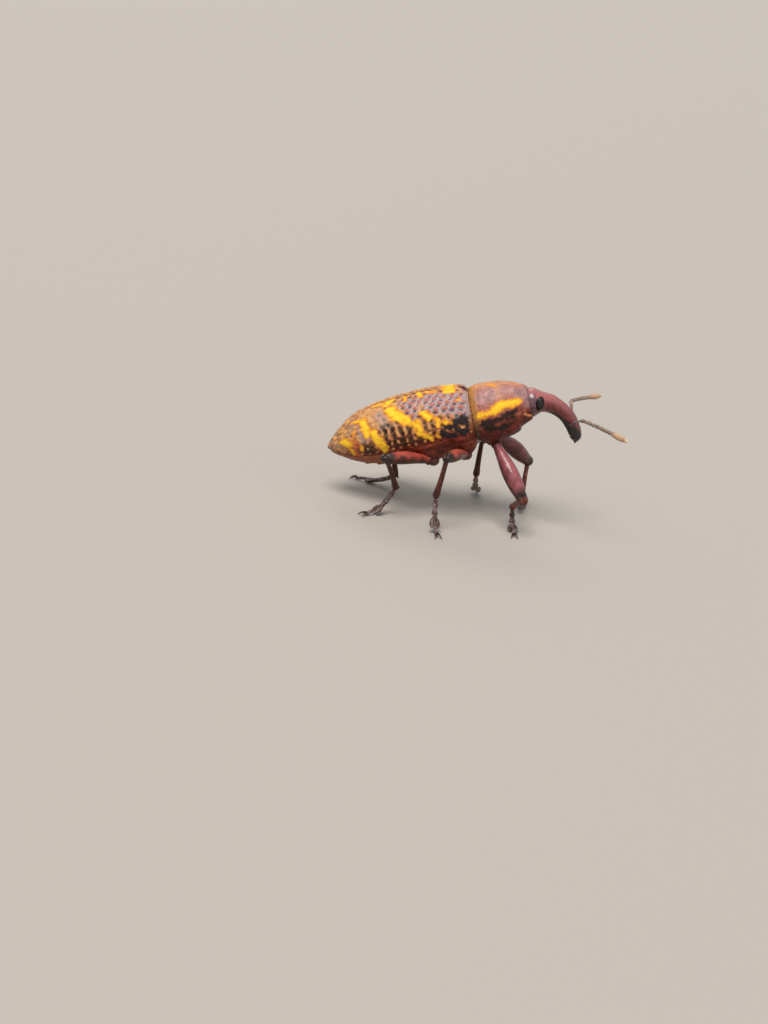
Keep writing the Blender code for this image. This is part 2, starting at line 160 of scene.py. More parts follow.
# %% [markdown]
# ## Skins
# A grid of points becomes a closed skin when its rows are joined into rings and
# each end ring is closed by a pole. Numbers that a finish needs, such as how deep
# a pit is or how far a place lies inside a yellow patch, are stored on the points
# as attributes, so that they follow the form wherever it goes.

# %% Shells and pieces
OUTSIDE = -9.0


def turns(count):
    """Angles of one whole turn in equal steps, as a row of the grid."""
    return 2 * np.pi * np.arange(count)[None] / count


def shell(rings, **marks):
    """Closed skin: quads between neighbours on the grid, and a fan from the middle of each end ring."""
    count, around = rings.shape[:2]
    grid = np.arange(count * around).reshape(count, around)
    ahead = np.roll(grid, -1, axis=1)
    quads = np.stack((grid[:-1], ahead[:-1], ahead[1:], grid[1:]), axis=-1).reshape(-1, 4)
    pole = np.full(around, count * around)
    first_fan = np.stack((ahead[0], grid[0], pole), 1)
    last_fan = np.stack((grid[-1], ahead[-1], pole + 1), 1)
    points = np.concatenate((rings.reshape(-1, 3), rings[[0, -1]].mean(axis=1)))
    painted = {}
    for name, field in marks.items():
        field = np.broadcast_to(field, (count, around))
        painted[name] = np.concatenate((field.reshape(-1), field[[0, -1]].mean(axis=1)))
    return points, [quads, np.concatenate((first_fan, last_fan))], painted


def piece(name, shells, finish, slot, *nodes):
    """One object from closed shells, which keeps their marks and rides on the frame."""
    faces, start = [], 0
    for points, groups, _ in shells:
        for group in groups:
            faces += (group + start).tolist()
        start += len(points)
    mesh = bpy.data.meshes.new(name)
    mesh.from_pydata(np.concatenate([points for points, _, _ in shells]) * MM, [], faces)
    work = bmesh.new()
    work.from_mesh(mesh)
    bmesh.ops.recalc_face_normals(work, faces=work.faces)
    work.to_mesh(mesh)
    work.free()
    for mark in shells[0][2]:
        values = np.concatenate([painted[mark] for _, _, painted in shells])
        mesh.attributes.new(mark, "FLOAT", "POINT").data.foreach_set("value", values.astype(np.float32))
    mesh.materials.append(finish)
    mesh.shade_smooth()
    made = bpy.data.objects.new(name, mesh)
    bpy.context.scene.collection.objects.link(made)
    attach(made, "root")
    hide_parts(*nodes)
    triangles = sum(len(face) - 2 for face in faces)
    print(f"{name}: {triangles} triangles, stands for {', '.join(nodes) or 'nothing in the frame'}")
    return made


def outward(points):
    """Unit normals of a grid: the cross product of its slopes along and round."""
    return unit(np.cross(np.gradient(points, axis=0), np.gradient(points, axis=1)))


def sweep(path, across, width, height, around, relief=0.0):
    """Rings round a path: path + (width·cos(turn) + relief)·side + (height·sin(turn) + relief)·top."""
    along = unit(np.gradient(path, axis=0))
    top = unit(np.cross(along, across))
    side = np.cross(top, along)
    turn = turns(around)
    relief = np.broadcast_to(relief, (len(path), around))
    sideways = (width[:, None] + relief) * np.cos(turn)
    upwards = (height[:, None] + relief) * np.sin(turn)
    return path[:, None] + sideways[..., None] * side[:, None] + upwards[..., None] * top[:, None]


def strokes(rows, x, z, scale):
    """How far inside the nearest stroke a place lies, in mm: half width less the distance to its line.

    The second number of a place counts rows or degrees, and scale is the width of one in mm."""
    inside = np.full(np.broadcast(x, z).shape, OUTSIDE)
    for x0, z0, x1, z1, half in np.array(rows) * (1, scale, 1, scale, 1):
        reach = max((x1 - x0) ** 2 + (z1 - z0) ** 2, 1e-9)
        along = np.clip(((x - x0) * (x1 - x0) + (z - z0) * (z1 - z0)) / reach, 0, 1)
        gap = np.hypot(x - x0 - along * (x1 - x0), z - z0 - along * (z1 - z0))
        inside = np.maximum(inside, half - gap)
    return inside


def stroke_marks(pattern, spared, x, z, scale):
    """A mark for each list of strokes in a pattern, with the spared places cut out of the black."""
    marks = {name: strokes(rows, x, z, scale) for name, rows in pattern.items()}
    marks["black"] = np.minimum(marks["black"], -strokes(spared, x, z, scale))
    return marks


print("eight steps of one turn lie at", np.degrees(turns(8)[0]).tolist(), "degrees")

# %% [markdown]
# ## Nodes for finishes
# A finish is built from a few kinds of node: a mark read from the skin, a noise
# that gives grain, cells for pits and facets, a mix of two colours, and a bump.
# What a node gives is wrapped as a value, so that a sum or a product of values
# can be written as one and makes its own node. Colours are laid over a ground in
# layers, each with its own share, as paint would be. Grain reads Object
# coordinates, which are metres, so its scale is one over its size. Colours are
# linear light.

# %% Values


def wire(socket, source):
    """Sets a plain number or colour on a socket, or links what comes from another node."""
    if isinstance(source, Value):
        socket.id_data.links.new(source.socket, socket)
    elif isinstance(source, tuple):
        socket.default_value = (*source, 1.0)
    else:
        socket.default_value = source


class Value:
    """What a node gives. A sum, difference or product of values is a node too."""

    def __init__(self, socket):
        self.socket = socket
        self.tree = socket.id_data

    def maths(self, what, first, second):
        """The sum, difference or product of two sources."""
        node = self.tree.nodes.new("ShaderNodeMath")
        node.operation = what
        wire(node.inputs[0], first)
        wire(node.inputs[1], second)
        return Value(node.outputs[0])

    def __add__(self, other):
        return self.maths("ADD", self, other)

    def __mul__(self, other):
        return self.maths("MULTIPLY", self, other)

    def __sub__(self, other):
        return self.maths("SUBTRACT", self, other)

    def __rsub__(self, other):
        return self.maths("SUBTRACT", other, self)

    def between(self, low, high):
        """Smooth step of the value from 0 at low to 1 at high."""
        node = self.tree.nodes.new("ShaderNodeMapRange")
        node.interpolation_type = "SMOOTHSTEP"
        wire(node.inputs["Value"], self)
        wire(node.inputs["From Min"], low)
        wire(node.inputs["From Max"], high)
        return Value(node.outputs[0])

    def mix(self, first, second):
        """Colour between two colours, with the value as the share of the second."""
        node = self.tree.nodes.new("ShaderNodeMix")
        node.data_type = "RGBA"
        for place, source in ((0, self), (6, first), (7, second)):
            wire(node.inputs[place], source)
        return Value(node.outputs[2])


def layered(ground, *layers):
    """Colour of the ground under layers laid over it in turn, each a share and a colour."""
    for share, colour in layers:
        ground = share.mix(ground, colour)
    return ground


# %% Looks
COAT_ROUGHNESS = 0.18


class Look:
    """A material, with what its finish is made from: marks, grain, cells, patches and bumps."""

    def __init__(self, name, roughness, coat=0.0, sheen=0.0, specular=0.5):
        self.material = bpy.data.materials.new(name)
        self.material.use_nodes = True
        self.tree = self.material.node_tree
        self.shader = self.tree.nodes["Principled BSDF"]
        self.set("Roughness", roughness)
        self.set("Coat Weight", coat)
        self.set("Coat Roughness", COAT_ROUGHNESS)
        self.set("Sheen Weight", sheen)
        self.set("Specular IOR Level", specular)

    def set(self, name, source):
        """Gives one input of the shader its number, colour or value."""
        wire(self.shader.inputs[name], source)

    def mark(self, name):
        """A number stored on the skin's points."""
        node = self.tree.nodes.new("ShaderNodeAttribute")
        node.attribute_name = name
        return Value(node.outputs["Fac"])

    def texture(self, kind, size):
        """Texture node in Object coordinates, whose lumps are about size mm across."""
        node = self.tree.nodes.new(kind)
        place = self.tree.nodes.new("ShaderNodeTexCoord")
        self.tree.links.new(place.outputs["Object"], node.inputs["Vector"])
        wire(node.inputs["Scale"], 1 / (size * MM))
        return node

    def grain(self, size, detail=3.0, roughness=0.55):
        """Soft noise from 0 to 1."""
        node = self.texture("ShaderNodeTexNoise", size)
        wire(node.inputs["Detail"], detail)
        wire(node.inputs["Roughness"], roughness)
        return Value(node.outputs["Fac"])

    def mottled(self, first, second, size, low, high, detail=4.0):
        """Two colours in lumps: the first where grain is under low, the second where it is over high."""
        return self.grain(size, detail).between(low, high).mix(first, second)

    def flecks(self, size, low, high, share, roughness=0.55):
        """A share of what lies where grain is over high, and nothing where it is under low."""
        return self.grain(size, 4.0, roughness).between(low, high) * share

    def cells(self, size):
        """Distance to the nearest of scattered points about size mm apart, in parts of that size."""
        return Value(self.texture("ShaderNodeTexVoronoi", size).outputs["Distance"])

    def wandering(self, size, reach):
        """Grain about 0, of so many mm either way at most."""
        return (self.grain(size, 4.0, 0.65) - 0.5) * (2 * reach)

    def patch(self, name, wander, size, edge):
        """Where a mark that is a depth in mm is above 0, with an outline that wanders by grain."""
        return (self.mark(name) + self.wandering(size, wander / 2)).between(-edge, edge)

    def raised(self, height, depth):
        """Bump of a height of 0 to 1 over a depth in mm."""
        node = self.tree.nodes.new("ShaderNodeBump")
        wire(node.inputs["Strength"], 1.0)
        wire(node.inputs["Distance"], depth * MM)
        wire(node.inputs["Height"], height)
        self.set("Normal", Value(node.outputs["Normal"]))

    def finished(self, colour, height, depth):
        """The material, when its colour and its bump are set."""
        self.set("Base Color", colour)
        self.raised(height, depth)
        return self.material


print("finishes are made from", [name for name in vars(Look) if not name.startswith("_")])

# %% [markdown]
# ## Wing cases
# Each wing case is a hard shell with ten rows of deep pits, and between the rows
# and pits the surface stands up in beads. The pits lie like bricks near the back
# and stand in columns low on the side, and the relief is shallower toward the
# tail. The shell is a quarter of the trunk's section: y = width·sin(angle),
# t = middle + reach·cos(angle), where the angle runs from the seam on the back to
# the lower edge in ten rows. Pits and beads are added along the surface's
# normals, so they are real relief. At the front of the seam a small triangle is
# sunk, where the plate between the two wing cases lies.

# %% Outline of the trunk, in mm: place, half width, height of back, height of belly
HIND_BODY = (
    (-14.80, 0.16, -0.08, -0.42),
    (-14.50, 0.58, 0.27, -0.78),
    (-13.50, 1.42, 1.22, -1.50),
    (-12.00, 2.38, 2.28, -2.28),
    (-10.20, 3.06, 2.93, -2.83),
    (-8.00, 3.50, 3.35, -3.20),
    (-6.00, 3.68, 3.50, -3.35),
    (-4.00, 3.72, 3.60, -3.40),
    (-2.00, 3.64, 3.48, -3.45),
    (-0.70, 3.48, 3.30, -3.32),
    (-0.10, 3.22, 3.10, -3.02),
    (0.20, 2.92, 2.84, -2.82),
)
CASE_EDGE = (
    (-14.80, -0.40),
    (-12.80, -1.10),
    (-10.50, -1.25),
    (-6.00, -1.10),
    (-2.00, -0.86),
    (0.20, -1.10),
)
ROWS = 10
ROW_WIDTH = 0.66
PIT_PITCH = 0.80


def section(rows, s, angle):
    """Trunk section: y = width·sin(angle), t = middle + reach·cos(angle)."""
    width, back, belly = (curve(rows, column, s) for column in (1, 2, 3))
    return width * np.sin(angle), (back + belly) / 2 + (back - belly) / 2 * np.cos(angle)


def edge_angle(s, height):
    """Angle from the back at which the trunk's side reaches a height."""
    back, belly = curve(HIND_BODY, 2, s), curve(HIND_BODY, 3, s)
    return np.arccos(np.clip((2 * height - back - belly) / (back - belly), -0.97, 0.97))


# %% Relief of a wing case
PIT_DEPTH = 0.11
BEAD_HEIGHT = 0.09
NOTCH_DEPTH = 0.34


def case_relief(s, row):
    """Height over the smooth shell, and how much of a pit, a bead and the front rim each place is.

    A pit is a bell at the middle of its row, one to every pitch of length. Above row
    six the pits of one row are set back by half a pitch from the next, and round
    beads stand between them; below it they are slots in columns between upright bars."""
    rank = np.floor(row)
    low = ease(row, 5.3, 6.5)
    wander = 0.20 * ripple(s, row * ROW_WIDTH, 1.6) + 0.10 * ripple(s + 3, row * ROW_WIDTH, 0.8)
    step = s / PIT_PITCH + 0.5 * (rank % 2) * (1 - low) + wander
    across = row - rank - 0.5 + 0.10 * ripple(s, row, 1.1)
    length = step - np.floor(step) - 0.5
    size = ease(curve(HIND_BODY, 1, s), 1.3, 2.9) * ease(0.1 - s, 0.05, 0.32)
    size = size * (1 - 0.35 * ease(-7.5 - s, 0, 2.5))
    vary = np.clip(1 + (0.5 + 0.2 * low) * ripple(s, row * ROW_WIDTH, 0.9), 0.2, 1.3)
    wide, long = 0.24 + 0.20 * low, 0.30 - 0.12 * low
    pit = np.exp(-((across / wide) ** 2) - np.abs(length / long) ** 2.2) * size * vary
    rank = np.floor(row - 0.5)
    step = s / PIT_PITCH + 0.25 + 0.5 * (rank % 2) + wander
    bead = hump(row - rank - 1.0, 0, 0.38) * hump(step - np.floor(step) - 0.5, 0, 0.34) * (1 - low)
    lift = across + 0.25 * ripple(s + 7, row * ROW_WIDTH, 0.8)
    broken = ease(row, 6.7, 7.7) * hump(np.abs(lift), 0.5, 0.26)
    bar = hump(np.abs(length), 0.5, 0.22) * low * (1 - 0.85 * broken)
    bead = np.maximum(bead, bar) * size * np.clip(vary, 0.6, 1.1)
    rim = hump(s, -0.02, 0.14)
    fine = 0.5 * ripple(s, row * ROW_WIDTH, 0.28) * size
    height = BEAD_HEIGHT * (bead + 0.2 * fine) - PIT_DEPTH * pit + 0.04 * rim
    return height, pit, bead * (1 - np.minimum(pit, 1)), rim


# %% [markdown]
# ## The pattern on the wing cases
# Yellow powder lies in slanting bands and spots, with black at the shoulder, dusk
# and rust down the side, and a grey bloom between. Each is a list of strokes: a
# line from one place to another, with a half width, where a place is a length
# along the body and a row of pits. Spared places stay free of black. The finish
# then lets the outlines wander by grain.

# %% Strokes of the pattern: place, row, place, row, half width in mm
POWDER = (
    (-12.9, 5.9, -12.4, 7.0, 0.50),
    (-12.3, 8.1, -12.1, 9.2, 0.26),
    (-11.5, 4.7, -11.7, 5.6, 0.17),
    (-11.1, 7.8, -11.1, 8.5, 0.20),
    (-11.7, 2.6, -10.8, 3.3, 0.22),
    (-10.5, 3.6, -10.2, 6.0, 0.46),
    (-9.6, 6.2, -8.8, 9.0, 0.50),
    (-9.2, 0.9, -8.3, 1.2, 0.28),
    (-8.0, 1.8, -7.3, 0.9, 0.36),
    (-7.6, 3.1, -7.1, 4.4, 0.60),
    (-7.0, 4.4, -6.1, 5.6, 0.54),
    (-6.1, 5.6, -5.8, 6.2, 0.31),
    (-6.0, 1.1, -6.0, 1.9, 0.24),
    (-4.6, 1.0, -4.4, 1.9, 0.30),
    (-3.8, 1.3, -3.6, 1.2, 0.20),
    (-3.3, 1.5, -2.9, 1.5, 0.20),
    (-1.9, 0.7, -1.3, 0.7, 0.42),
    (-1.9, 1.7, -1.3, 1.7, 0.42),
    (-0.8, 3.7, -0.7, 3.7, 0.14),
    (-4.4, 5.1, -3.8, 6.0, 0.40),
    (-5.1, 6.4, -5.0, 8.0, 0.41),
    (-4.6, 8.4, -4.0, 9.3, 0.31),
    (-3.0, 6.7, -3.1, 7.5, 0.26),
    (-2.9, 7.2, -2.0, 7.3, 0.22),
    (-3.4, 8.9, -3.4, 9.3, 0.22),
)
BLACK = (
    (-2.8, 8.9, -1.8, 9.5, 0.44),
    (-2.2, 8.1, -0.5, 7.0, 0.46),
    (-0.4, 7.0, -0.6, 9.0, 0.34),
    (-1.5, 8.4, -0.8, 9.3, 0.36),
)
SPARED = ((-2.2, 8.7, -1.8, 8.8, 0.19), (-1.1, 8.2, -0.7, 8.3, 0.18))
GREY = (
    (-8.8, 3.5, -8.3, 5.4, 0.47),
    (-10.9, 5.0, -10.4, 6.8, 0.39),
    (-6.0, 2.4, -5.3, 4.6, 0.64),
    (-4.8, 2.6, -0.5, 3.4, 0.80),
    (-3.6, 4.4, -0.4, 5.6, 0.80),
    (-0.1, 1.0, -0.1, 7.0, 0.20),
)
DARK = (
    (-8.4, 6.2, -5.6, 7.4, 0.60),
    (-7.8, 8.4, -5.4, 8.9, 0.72),
    (-10.6, 8.4, -9.9, 9.9, 0.62),
    (-4.0, 6.9, -4.0, 7.6, 0.27),
    (-8.9, 0.4, -3.0, 0.4, 0.16),
)
RED = ((-11.8, 6.4, -11.6, 8.1, 0.30), (-9.3, 9.2, -7.8, 9.8, 0.14), (-12.0, 9.2, -11.6, 10.0, 0.36))
CASE_PATTERN = dict(powder=POWDER, black=BLACK, bloom=GREY, dusk=DARK, rust=RED)

CASE_RINGS, CASE_STEPS = 400, 180
UNDER_STEPS, SEAM_STEPS = 7, 5
SEAM_GAP = 0.02


def case_marks(s, row, pit, bead, rim, notch):
    """Fields for the finish: the strokes, the relief, and how near the seam or the tail a place is."""
    marks = stroke_marks(CASE_PATTERN, SPARED, s, row * ROW_WIDTH, ROW_WIDTH)
    marks.update(pit=pit, bead=bead, rim=rim * (1 - ease(row, 6.0, 7.2)), notch=notch)
    marks.update(row=row, seam=1 - ease(row, 0.05, 0.5), tail=-10.6 - s - 0.25 * row)
    return marks


def wing_case_shell(hand):
    """The outer sheet with its relief, then a flat underside and a flat face at the seam."""
    s = stations(HIND_BODY[0][0], HIND_BODY[-1][0], CASE_RINGS)[:, None]
    row = np.linspace(0, ROWS, CASE_STEPS + 1)[None]
    edge = curve(CASE_EDGE, 1, s)
    seam = np.arcsin(np.clip(SEAM_GAP / curve(HIND_BODY, 1, s), 0, 0.95))
    angle = seam + (edge_angle(s, edge) - seam) * row / ROWS
    y, t = section(HIND_BODY, s, angle)
    height, pit, bead, rim = case_relief(s, row)
    notch = ease(np.minimum((s + 0.85) * 2.0, 1.5) - row, 0, 0.7)
    marks = case_marks(s, row, pit, bead, rim, notch)
    fall = ease(row, 0, 0.12) * ease(ROWS - row, 0, 0.12)
    fall = fall * (1 - 0.5 * ease(marks["powder"], -0.05, 0.15))
    fall = fall * (1 - 0.6 * ease(marks["black"], -0.1, 0.2))
    marks["powder"] = marks["powder"] + 0.10 * bead - 0.08 * pit
    sheet = to_world(s, hand * y, t)
    sheet = sheet + hand * outward(sheet) * (height * fall - NOTCH_DEPTH * notch)[..., None]
    below = to_world(s, hand * y[:, -1:] * np.linspace(0.97, 0.03, UNDER_STEPS), edge)
    up = np.linspace(0.1, 0.9, SEAM_STEPS)
    middle = to_world(s, hand * np.full_like(up, SEAM_GAP), edge + (t[:, :1] - edge) * up)
    rings = np.concatenate((sheet, below, middle), axis=1)
    hidden = np.full((CASE_RINGS, UNDER_STEPS + SEAM_STEPS), OUTSIDE)
    for name, field in marks.items():
        marks[name] = np.concatenate((np.broadcast_to(field, pit.shape), hidden), axis=1)
    return shell(rings, **marks)


# %% Finish of the wing cases
BROWN = (0.27, 0.095, 0.038)
PALE_BROWN = (0.50, 0.262, 0.098)
PINK = (0.34, 0.100, 0.080)
BLOOM = (0.30, 0.240, 0.248)
SOOT = (0.013, 0.006, 0.004)
DUSK = (0.060, 0.020, 0.008)
DEEP_RED = (0.095, 0.010, 0.003)
RUST = (0.46, 0.085, 0.020)
YELLOW = (0.77, 0.455, 0.022)
ORANGE = (0.56, 0.19, 0.014)
SHADED_BROWN = (0.16, 0.036, 0.014)
DUSTY_BROWN = (0.17, 0.070, 0.038)
OCHRE = (0.68, 0.35, 0.095)
GREY_OCHRE = (0.26, 0.155, 0.125)
SPECK = (0.06, 0.028, 0.020)
BARE_BEAD = (0.40, 0.13, 0.050)
REAR_BEAD = (0.40, 0.23, 0.15)
REAR_BLOOM = (0.34, 0.225, 0.175)
PIT = (0.040, 0.014, 0.008)
GREY_PIT = (0.080, 0.064, 0.078)
MARGIN_RED = (0.20, 0.034, 0.014)
RIM_GREY = (0.26, 0.19, 0.19)
SEAM_BROWN = (0.46, 0.22, 0.075)
PLATE_RED = (0.085, 0.012, 0.006)
BLACK_POWDER = (0.015, 0.010, 0.011)


def powdered(look, colour):
    """Covers a colour with yellow powder inside the powder mark: orange where it thins out, and rough."""
    depth = look.mark("powder") + look.wandering(0.75, 0.30) + look.wandering(0.20, 0.13)
    dust = depth.between(-0.13, 0.12)
    core = (depth + look.wandering(0.30, 0.22)).between(-0.02, 0.36)
    look.set("Base Color", dust.mix(colour, core.mix(ORANGE, YELLOW)))
    look.set("Roughness", dust * 0.34 + 0.48)
    return dust


def shell_ground(look, row):
    """Red-brown of the shell: mottled, darker down the side as painted shade, dusted with ochre towards the
    tail.
    """
    ochre = look.mottled(DUSTY_BROWN, OCHRE, 0.45, 0.41, 0.59, 5.0)
    ochre = look.grain(1.3).between(0.50, 0.62).mix(ochre, GREY_OCHRE)
    return layered(
        look.mottled(BROWN, PALE_BROWN, 1.1, 0.36, 0.64, 5.0),
        # painted shade: rows six to ten, the lower side of the wing case, are darkened
        (row.between(6.0, 9.6), SHADED_BROWN),
        (look.patch("tail", 2.6, 0.8, 1.2) * 0.75, ochre),
        (look.flecks(0.16, 0.60, 0.70, 0.5, 0.7), SPECK),
    )


def case_net(look, row, tail):
    """Beads in a net, both grey or pink in the bloom and paler at the rear, with dark pits."""
    bloom, rear = look.patch("bloom", 1.3, 0.8, 0.30), tail.between(-5.0, -3.6)
    bead = layered(
        look.mottled(PALE_BROWN, BARE_BEAD, 0.5, 0.4, 0.6, 3.0),
        (bloom, PINK),
        (bloom * rear, REAR_BEAD),
    )
    outer = row.between(5.0, 6.2) + (1.0 - row.between(1.2, 2.4))
    outer = (outer + bloom).between(-0.6, 0.9) * 0.85
    shut = tail.between(-4.2, -2.2) * 0.65
    return layered(
        shell_ground(look, row),
        (bloom * 0.9, rear.mix(BLOOM, REAR_BLOOM)),
        (look.mark("bead").between(0.16, 0.44) * 0.9, bead),
        (look.mark("pit").between(0.28, 0.74) * (outer * (1.0 - shut)), bloom.mix(PIT, GREY_PIT)),
    )


def wing_case_finish():
    """Red-brown shell: pink beads in a grey net, dark slots, black and red patches, then powder."""
    look = Look("wing_case_shell", 0.46, specular=0.25)
    row, tail = look.mark("row"), look.mark("tail")
    hole = (look.wandering(0.30, 0.30) + 0.62) - look.mark("bead")
    dusk = look.patch("dusk", 0.8, 0.6, 0.5) * hole.between(0.05, 0.45)
    margin = (row + look.wandering(0.9, 0.6)).between(9.0, 9.9) * (1.0 - tail.between(-3.6, -1.6))
    colour = layered(
        case_net(look, row, tail),
        (look.patch("rust", 0.8, 0.5, 0.2) * 0.7, RUST),
        (dusk * 0.95, look.mottled(SOOT, DUSK, 0.5, 0.38, 0.60)),
        (margin, look.mottled(DEEP_RED, MARGIN_RED, 0.4, 0.42, 0.70)),
        (look.mark("rim") * 0.8, RIM_GREY),
        (look.mark("seam") * 0.5, SEAM_BROWN),
        (look.mark("notch").between(0.1, 0.6), PLATE_RED),
        (look.patch("black", 0.7, 0.30, 0.13), BLACK_POWDER),
    )
    dust = powdered(look, colour)
    look.raised(look.grain(0.10, 5.0, 0.65) * 0.8 + dust * look.grain(0.06), 0.030)
    return look.material


shell_finish = wing_case_finish()
for side, hand in HANDS.items():
    piece("wing_case_" + side, [wing_case_shell(hand)], shell_finish, "wing_case", "elytron_" + side)

# %% [markdown]
# ## Fore-body
# The fore-body is a smooth barrel that narrows to the head. Its ends are rolled in
# like the neck of a jar, so that a shadow lies where it meets its neighbours. Fine
# pits are too small to model one by one, and are bump. The waist between the
# fore-body and the wing cases is a plain plug of nearly black horn.

# %% Barrel of the fore-body
FORE_BODY = (
    (0.50, 2.86, 2.78, -2.76),
    (0.80, 3.04, 2.95, -2.93),
    (1.50, 3.12, 3.06, -3.00),
    (2.60, 3.04, 3.00, -2.86),
    (4.00, 2.66, 2.76, -2.36),
    (5.00, 2.26, 2.42, -1.88),
    (5.60, 2.00, 2.14, -1.62),
    (6.05, 1.76, 1.88, -1.43),
)
FORE_ARC = 3.0
FORE_POWDER = (
    (0.8, 78, 2.6, 75, 0.36),
    (2.6, 74, 3.4, 66, 0.50),
    (3.4, 66, 4.9, 67, 0.47),
    (4.2, 74, 4.9, 73, 0.24),
    (2.3, 9, 3.0, 18, 0.14),
)
FORE_BLACK = (
    (1.3, 94, 2.7, 96, 0.46),
    (2.8, 92, 4.5, 88, 0.36),
    (1.5, 104, 3.5, 114, 0.42),
    (3.1, 104, 4.2, 101, 0.42),
)
FORE_SPARED = ((2.6, 103, 3.2, 102, 0.20), (3.5, 104, 3.9, 107, 0.14))
FORE_BLOOM = (
    (1.2, 47, 1.5, 32, 0.30),
    (1.6, 44, 2.5, 38, 0.80),
    (3.8, 33, 5.7, 39, 0.60),
    (5.2, 48, 5.9, 66, 0.50),
    (5.85, 18, 5.95, 78, 0.42),
)
FORE_OCHRE = (
    (0.6, 6, 2.6, 4, 0.45),
    (2.6, 10, 3.2, 22, 0.35),
    (3.6, 3, 5.2, 3, 0.25),
    (3.1, 24, 3.2, 46, 0.20),
    (0.5, 20, 0.5, 100, 0.30),
)
CHEEK = ((5.40, 107, 5.80, 121, 0.10), (5.72, 121, 5.95, 125, 0.14))
FORE_PATTERN = dict(powder=FORE_POWDER, black=FORE_BLACK, bloom=FORE_BLOOM, ochre=FORE_OCHRE, cheek=CHEEK)
DEGREE = math.radians(1) * FORE_ARC
FORE_RINGS, FORE_STEPS = 200, 260


def lipped(s, first, last, roll):
    """How far to shrink a section so that both ends roll in: a quarter circle of radius roll."""
    near = np.minimum(s - first, last - s)
    return 1 - 0.16 * (1 - np.sqrt(np.clip(1 - (1 - np.clip(near / roll, 0, 1)) ** 2, 0, 1)))


def fore_body_shell():
    """Barrel with a groove round its base, a fine keel on the back and a swelling under the chin."""
    first, last = FORE_BODY[0][0], FORE_BODY[-1][0]
    s = stations(first, last, FORE_RINGS)[:, None]
    angle = turns(FORE_STEPS)
    from_back = np.minimum(angle, 2 * np.pi - angle)
    z = from_back * FORE_ARC
    y, t = section(FORE_BODY, s, angle)
    shrink = lipped(s, first, last, 0.14)
    rings = to_world(s, -y * shrink, t * shrink)
    uneven = 0.05 * ripple(s, z, 1.6) + 0.02 * ripple(s, z, 0.5)
    groove = -0.05 * hump(s, 1.15 + 0.12 * np.cos(3 * angle), 0.12)
    keel = 0.03 * hump(from_back, 0, 0.06) * ease(s, 1, 2)
    chin = 0.22 * ease(from_back, math.radians(112), math.radians(140))
    chin = chin * ease(s, 2.4, 4.3) * ease(4.75 - s, 0, 0.22)
    height = (uneven + groove + keel + chin) * ease(np.minimum(s - first, last - s), 0, 0.3)
    rings = rings - outward(rings) * height[..., None]
    marks = stroke_marks(FORE_PATTERN, FORE_SPARED, s, z, DEGREE)
    side, back = hump(from_back, math.radians(58), 0.5), ease(math.radians(30) - from_back, 0, 0.4)
    return shell(
        rings,
        high=(math.radians(68) - from_back) * 1.6,
        low=(from_back - math.radians(100)) * 1.4,
        front=s - 5.75 + 0.25 * side - 0.3 * back,
        **marks,
    )


def fore_body_finish():
    """Red-brown horn with a grey bloom, a black side, a dark underside and a yellow stripe, with painted
    shade in its fine pits.
    """
    look = Look("fore_body_horn", 0.46, specular=0.25)
    lilac = look.mottled((0.20, 0.120, 0.130), (0.40, 0.215, 0.200), 0.6, 0.36, 0.62, 3.0)
    low = look.patch("low", 1.0, 0.8, 0.3)
    front = look.patch("front", 0.7, 0.5, 0.5) * (1.0 - low)
    depth = look.mark("black") + (look.wandering(0.8, 0.42) + look.wandering(0.28, 0.42))
    pits = look.cells(0.20).between(0.08, 0.34)
    colour = layered(
        look.mottled((0.17, 0.030, 0.020), (0.35, 0.098, 0.055), 0.9, 0.38, 0.64),
        (look.patch("high", 1.2, 0.6, 1.0) * 0.7, (0.34, 0.142, 0.102)),
        (look.patch("ochre", 1.2, 0.7, 0.7) * 0.8, (0.53, 0.235, 0.080)),
        (look.patch("bloom", 0.9, 0.7, 0.6) * 0.8, lilac),
        (low, look.mottled((0.060, 0.008, 0.004), (0.15, 0.020, 0.010), 0.6, 0.4, 0.65)),
        (front * 0.55, (0.13, 0.078, 0.088)),
        (look.patch("cheek", 0.4, 0.3, 0.15) * 0.9, (0.80, 0.30, 0.11)),
        (depth.between(-0.10, 0.20) * 0.96, SOOT),
        (look.flecks(0.13, 0.57, 0.69, 0.4, 0.7), (0.060, 0.020, 0.014)),
        # painted shade: the fine pits, which are only bump, are darkened as if in shadow
        ((1.0 - pits) * 0.40, (0.085, 0.026, 0.020)),
    )
    dust = powdered(look, colour)
    look.raised(pits + (look.grain(0.12) * 0.8 + dust * 0.5), 0.030)
    return look.material


horn = fore_body_finish()
piece("fore_body", [fore_body_shell()], horn, "fore_body", "prothorax")

# %% Waist between fore-body and wing cases


def plain_horn(name, roughness, size, dark, light, lumps, depth, **shine):
    """Horn between two colours, with lumps of a size in mm that stand up by a depth in mm."""
    look = Look(name, roughness, **shine)
    return look.finished(look.grain(size).mix(dark, light), look.grain(lumps), depth)


DEEP, WARM = (0.03, 0.005, 0.003), (0.11, 0.016, 0.008)
dark_horn = plain_horn("dark_horn", 0.38, 0.4, DEEP, WARM, 0.1, 0.02, coat=0.1)
WAIST_RINGS, WAIST_STEPS = 24, 96
waist_path = to_world(np.linspace(-0.6, 1.2, WAIST_RINGS), 0.0, -0.02)
waist_size = 2.62 + 0.12 * np.cos(np.linspace(0, 6 * np.pi, WAIST_RINGS))
waist_rings = sweep(waist_path, LEFT, waist_size, waist_size, WAIST_STEPS)
piece("waist", [shell(waist_rings)], dark_horn, "fore_body")

# %% [markdown]
# ## Head and snout
# Head and snout are one piece of horn, so one skin covers both. It is a tube along
# a centre line that bends down, with sockets for the eyes, a keel along the top,
# and on each side the groove into which the feeler folds. The jaws are two short
# toothed hooks at the tip.

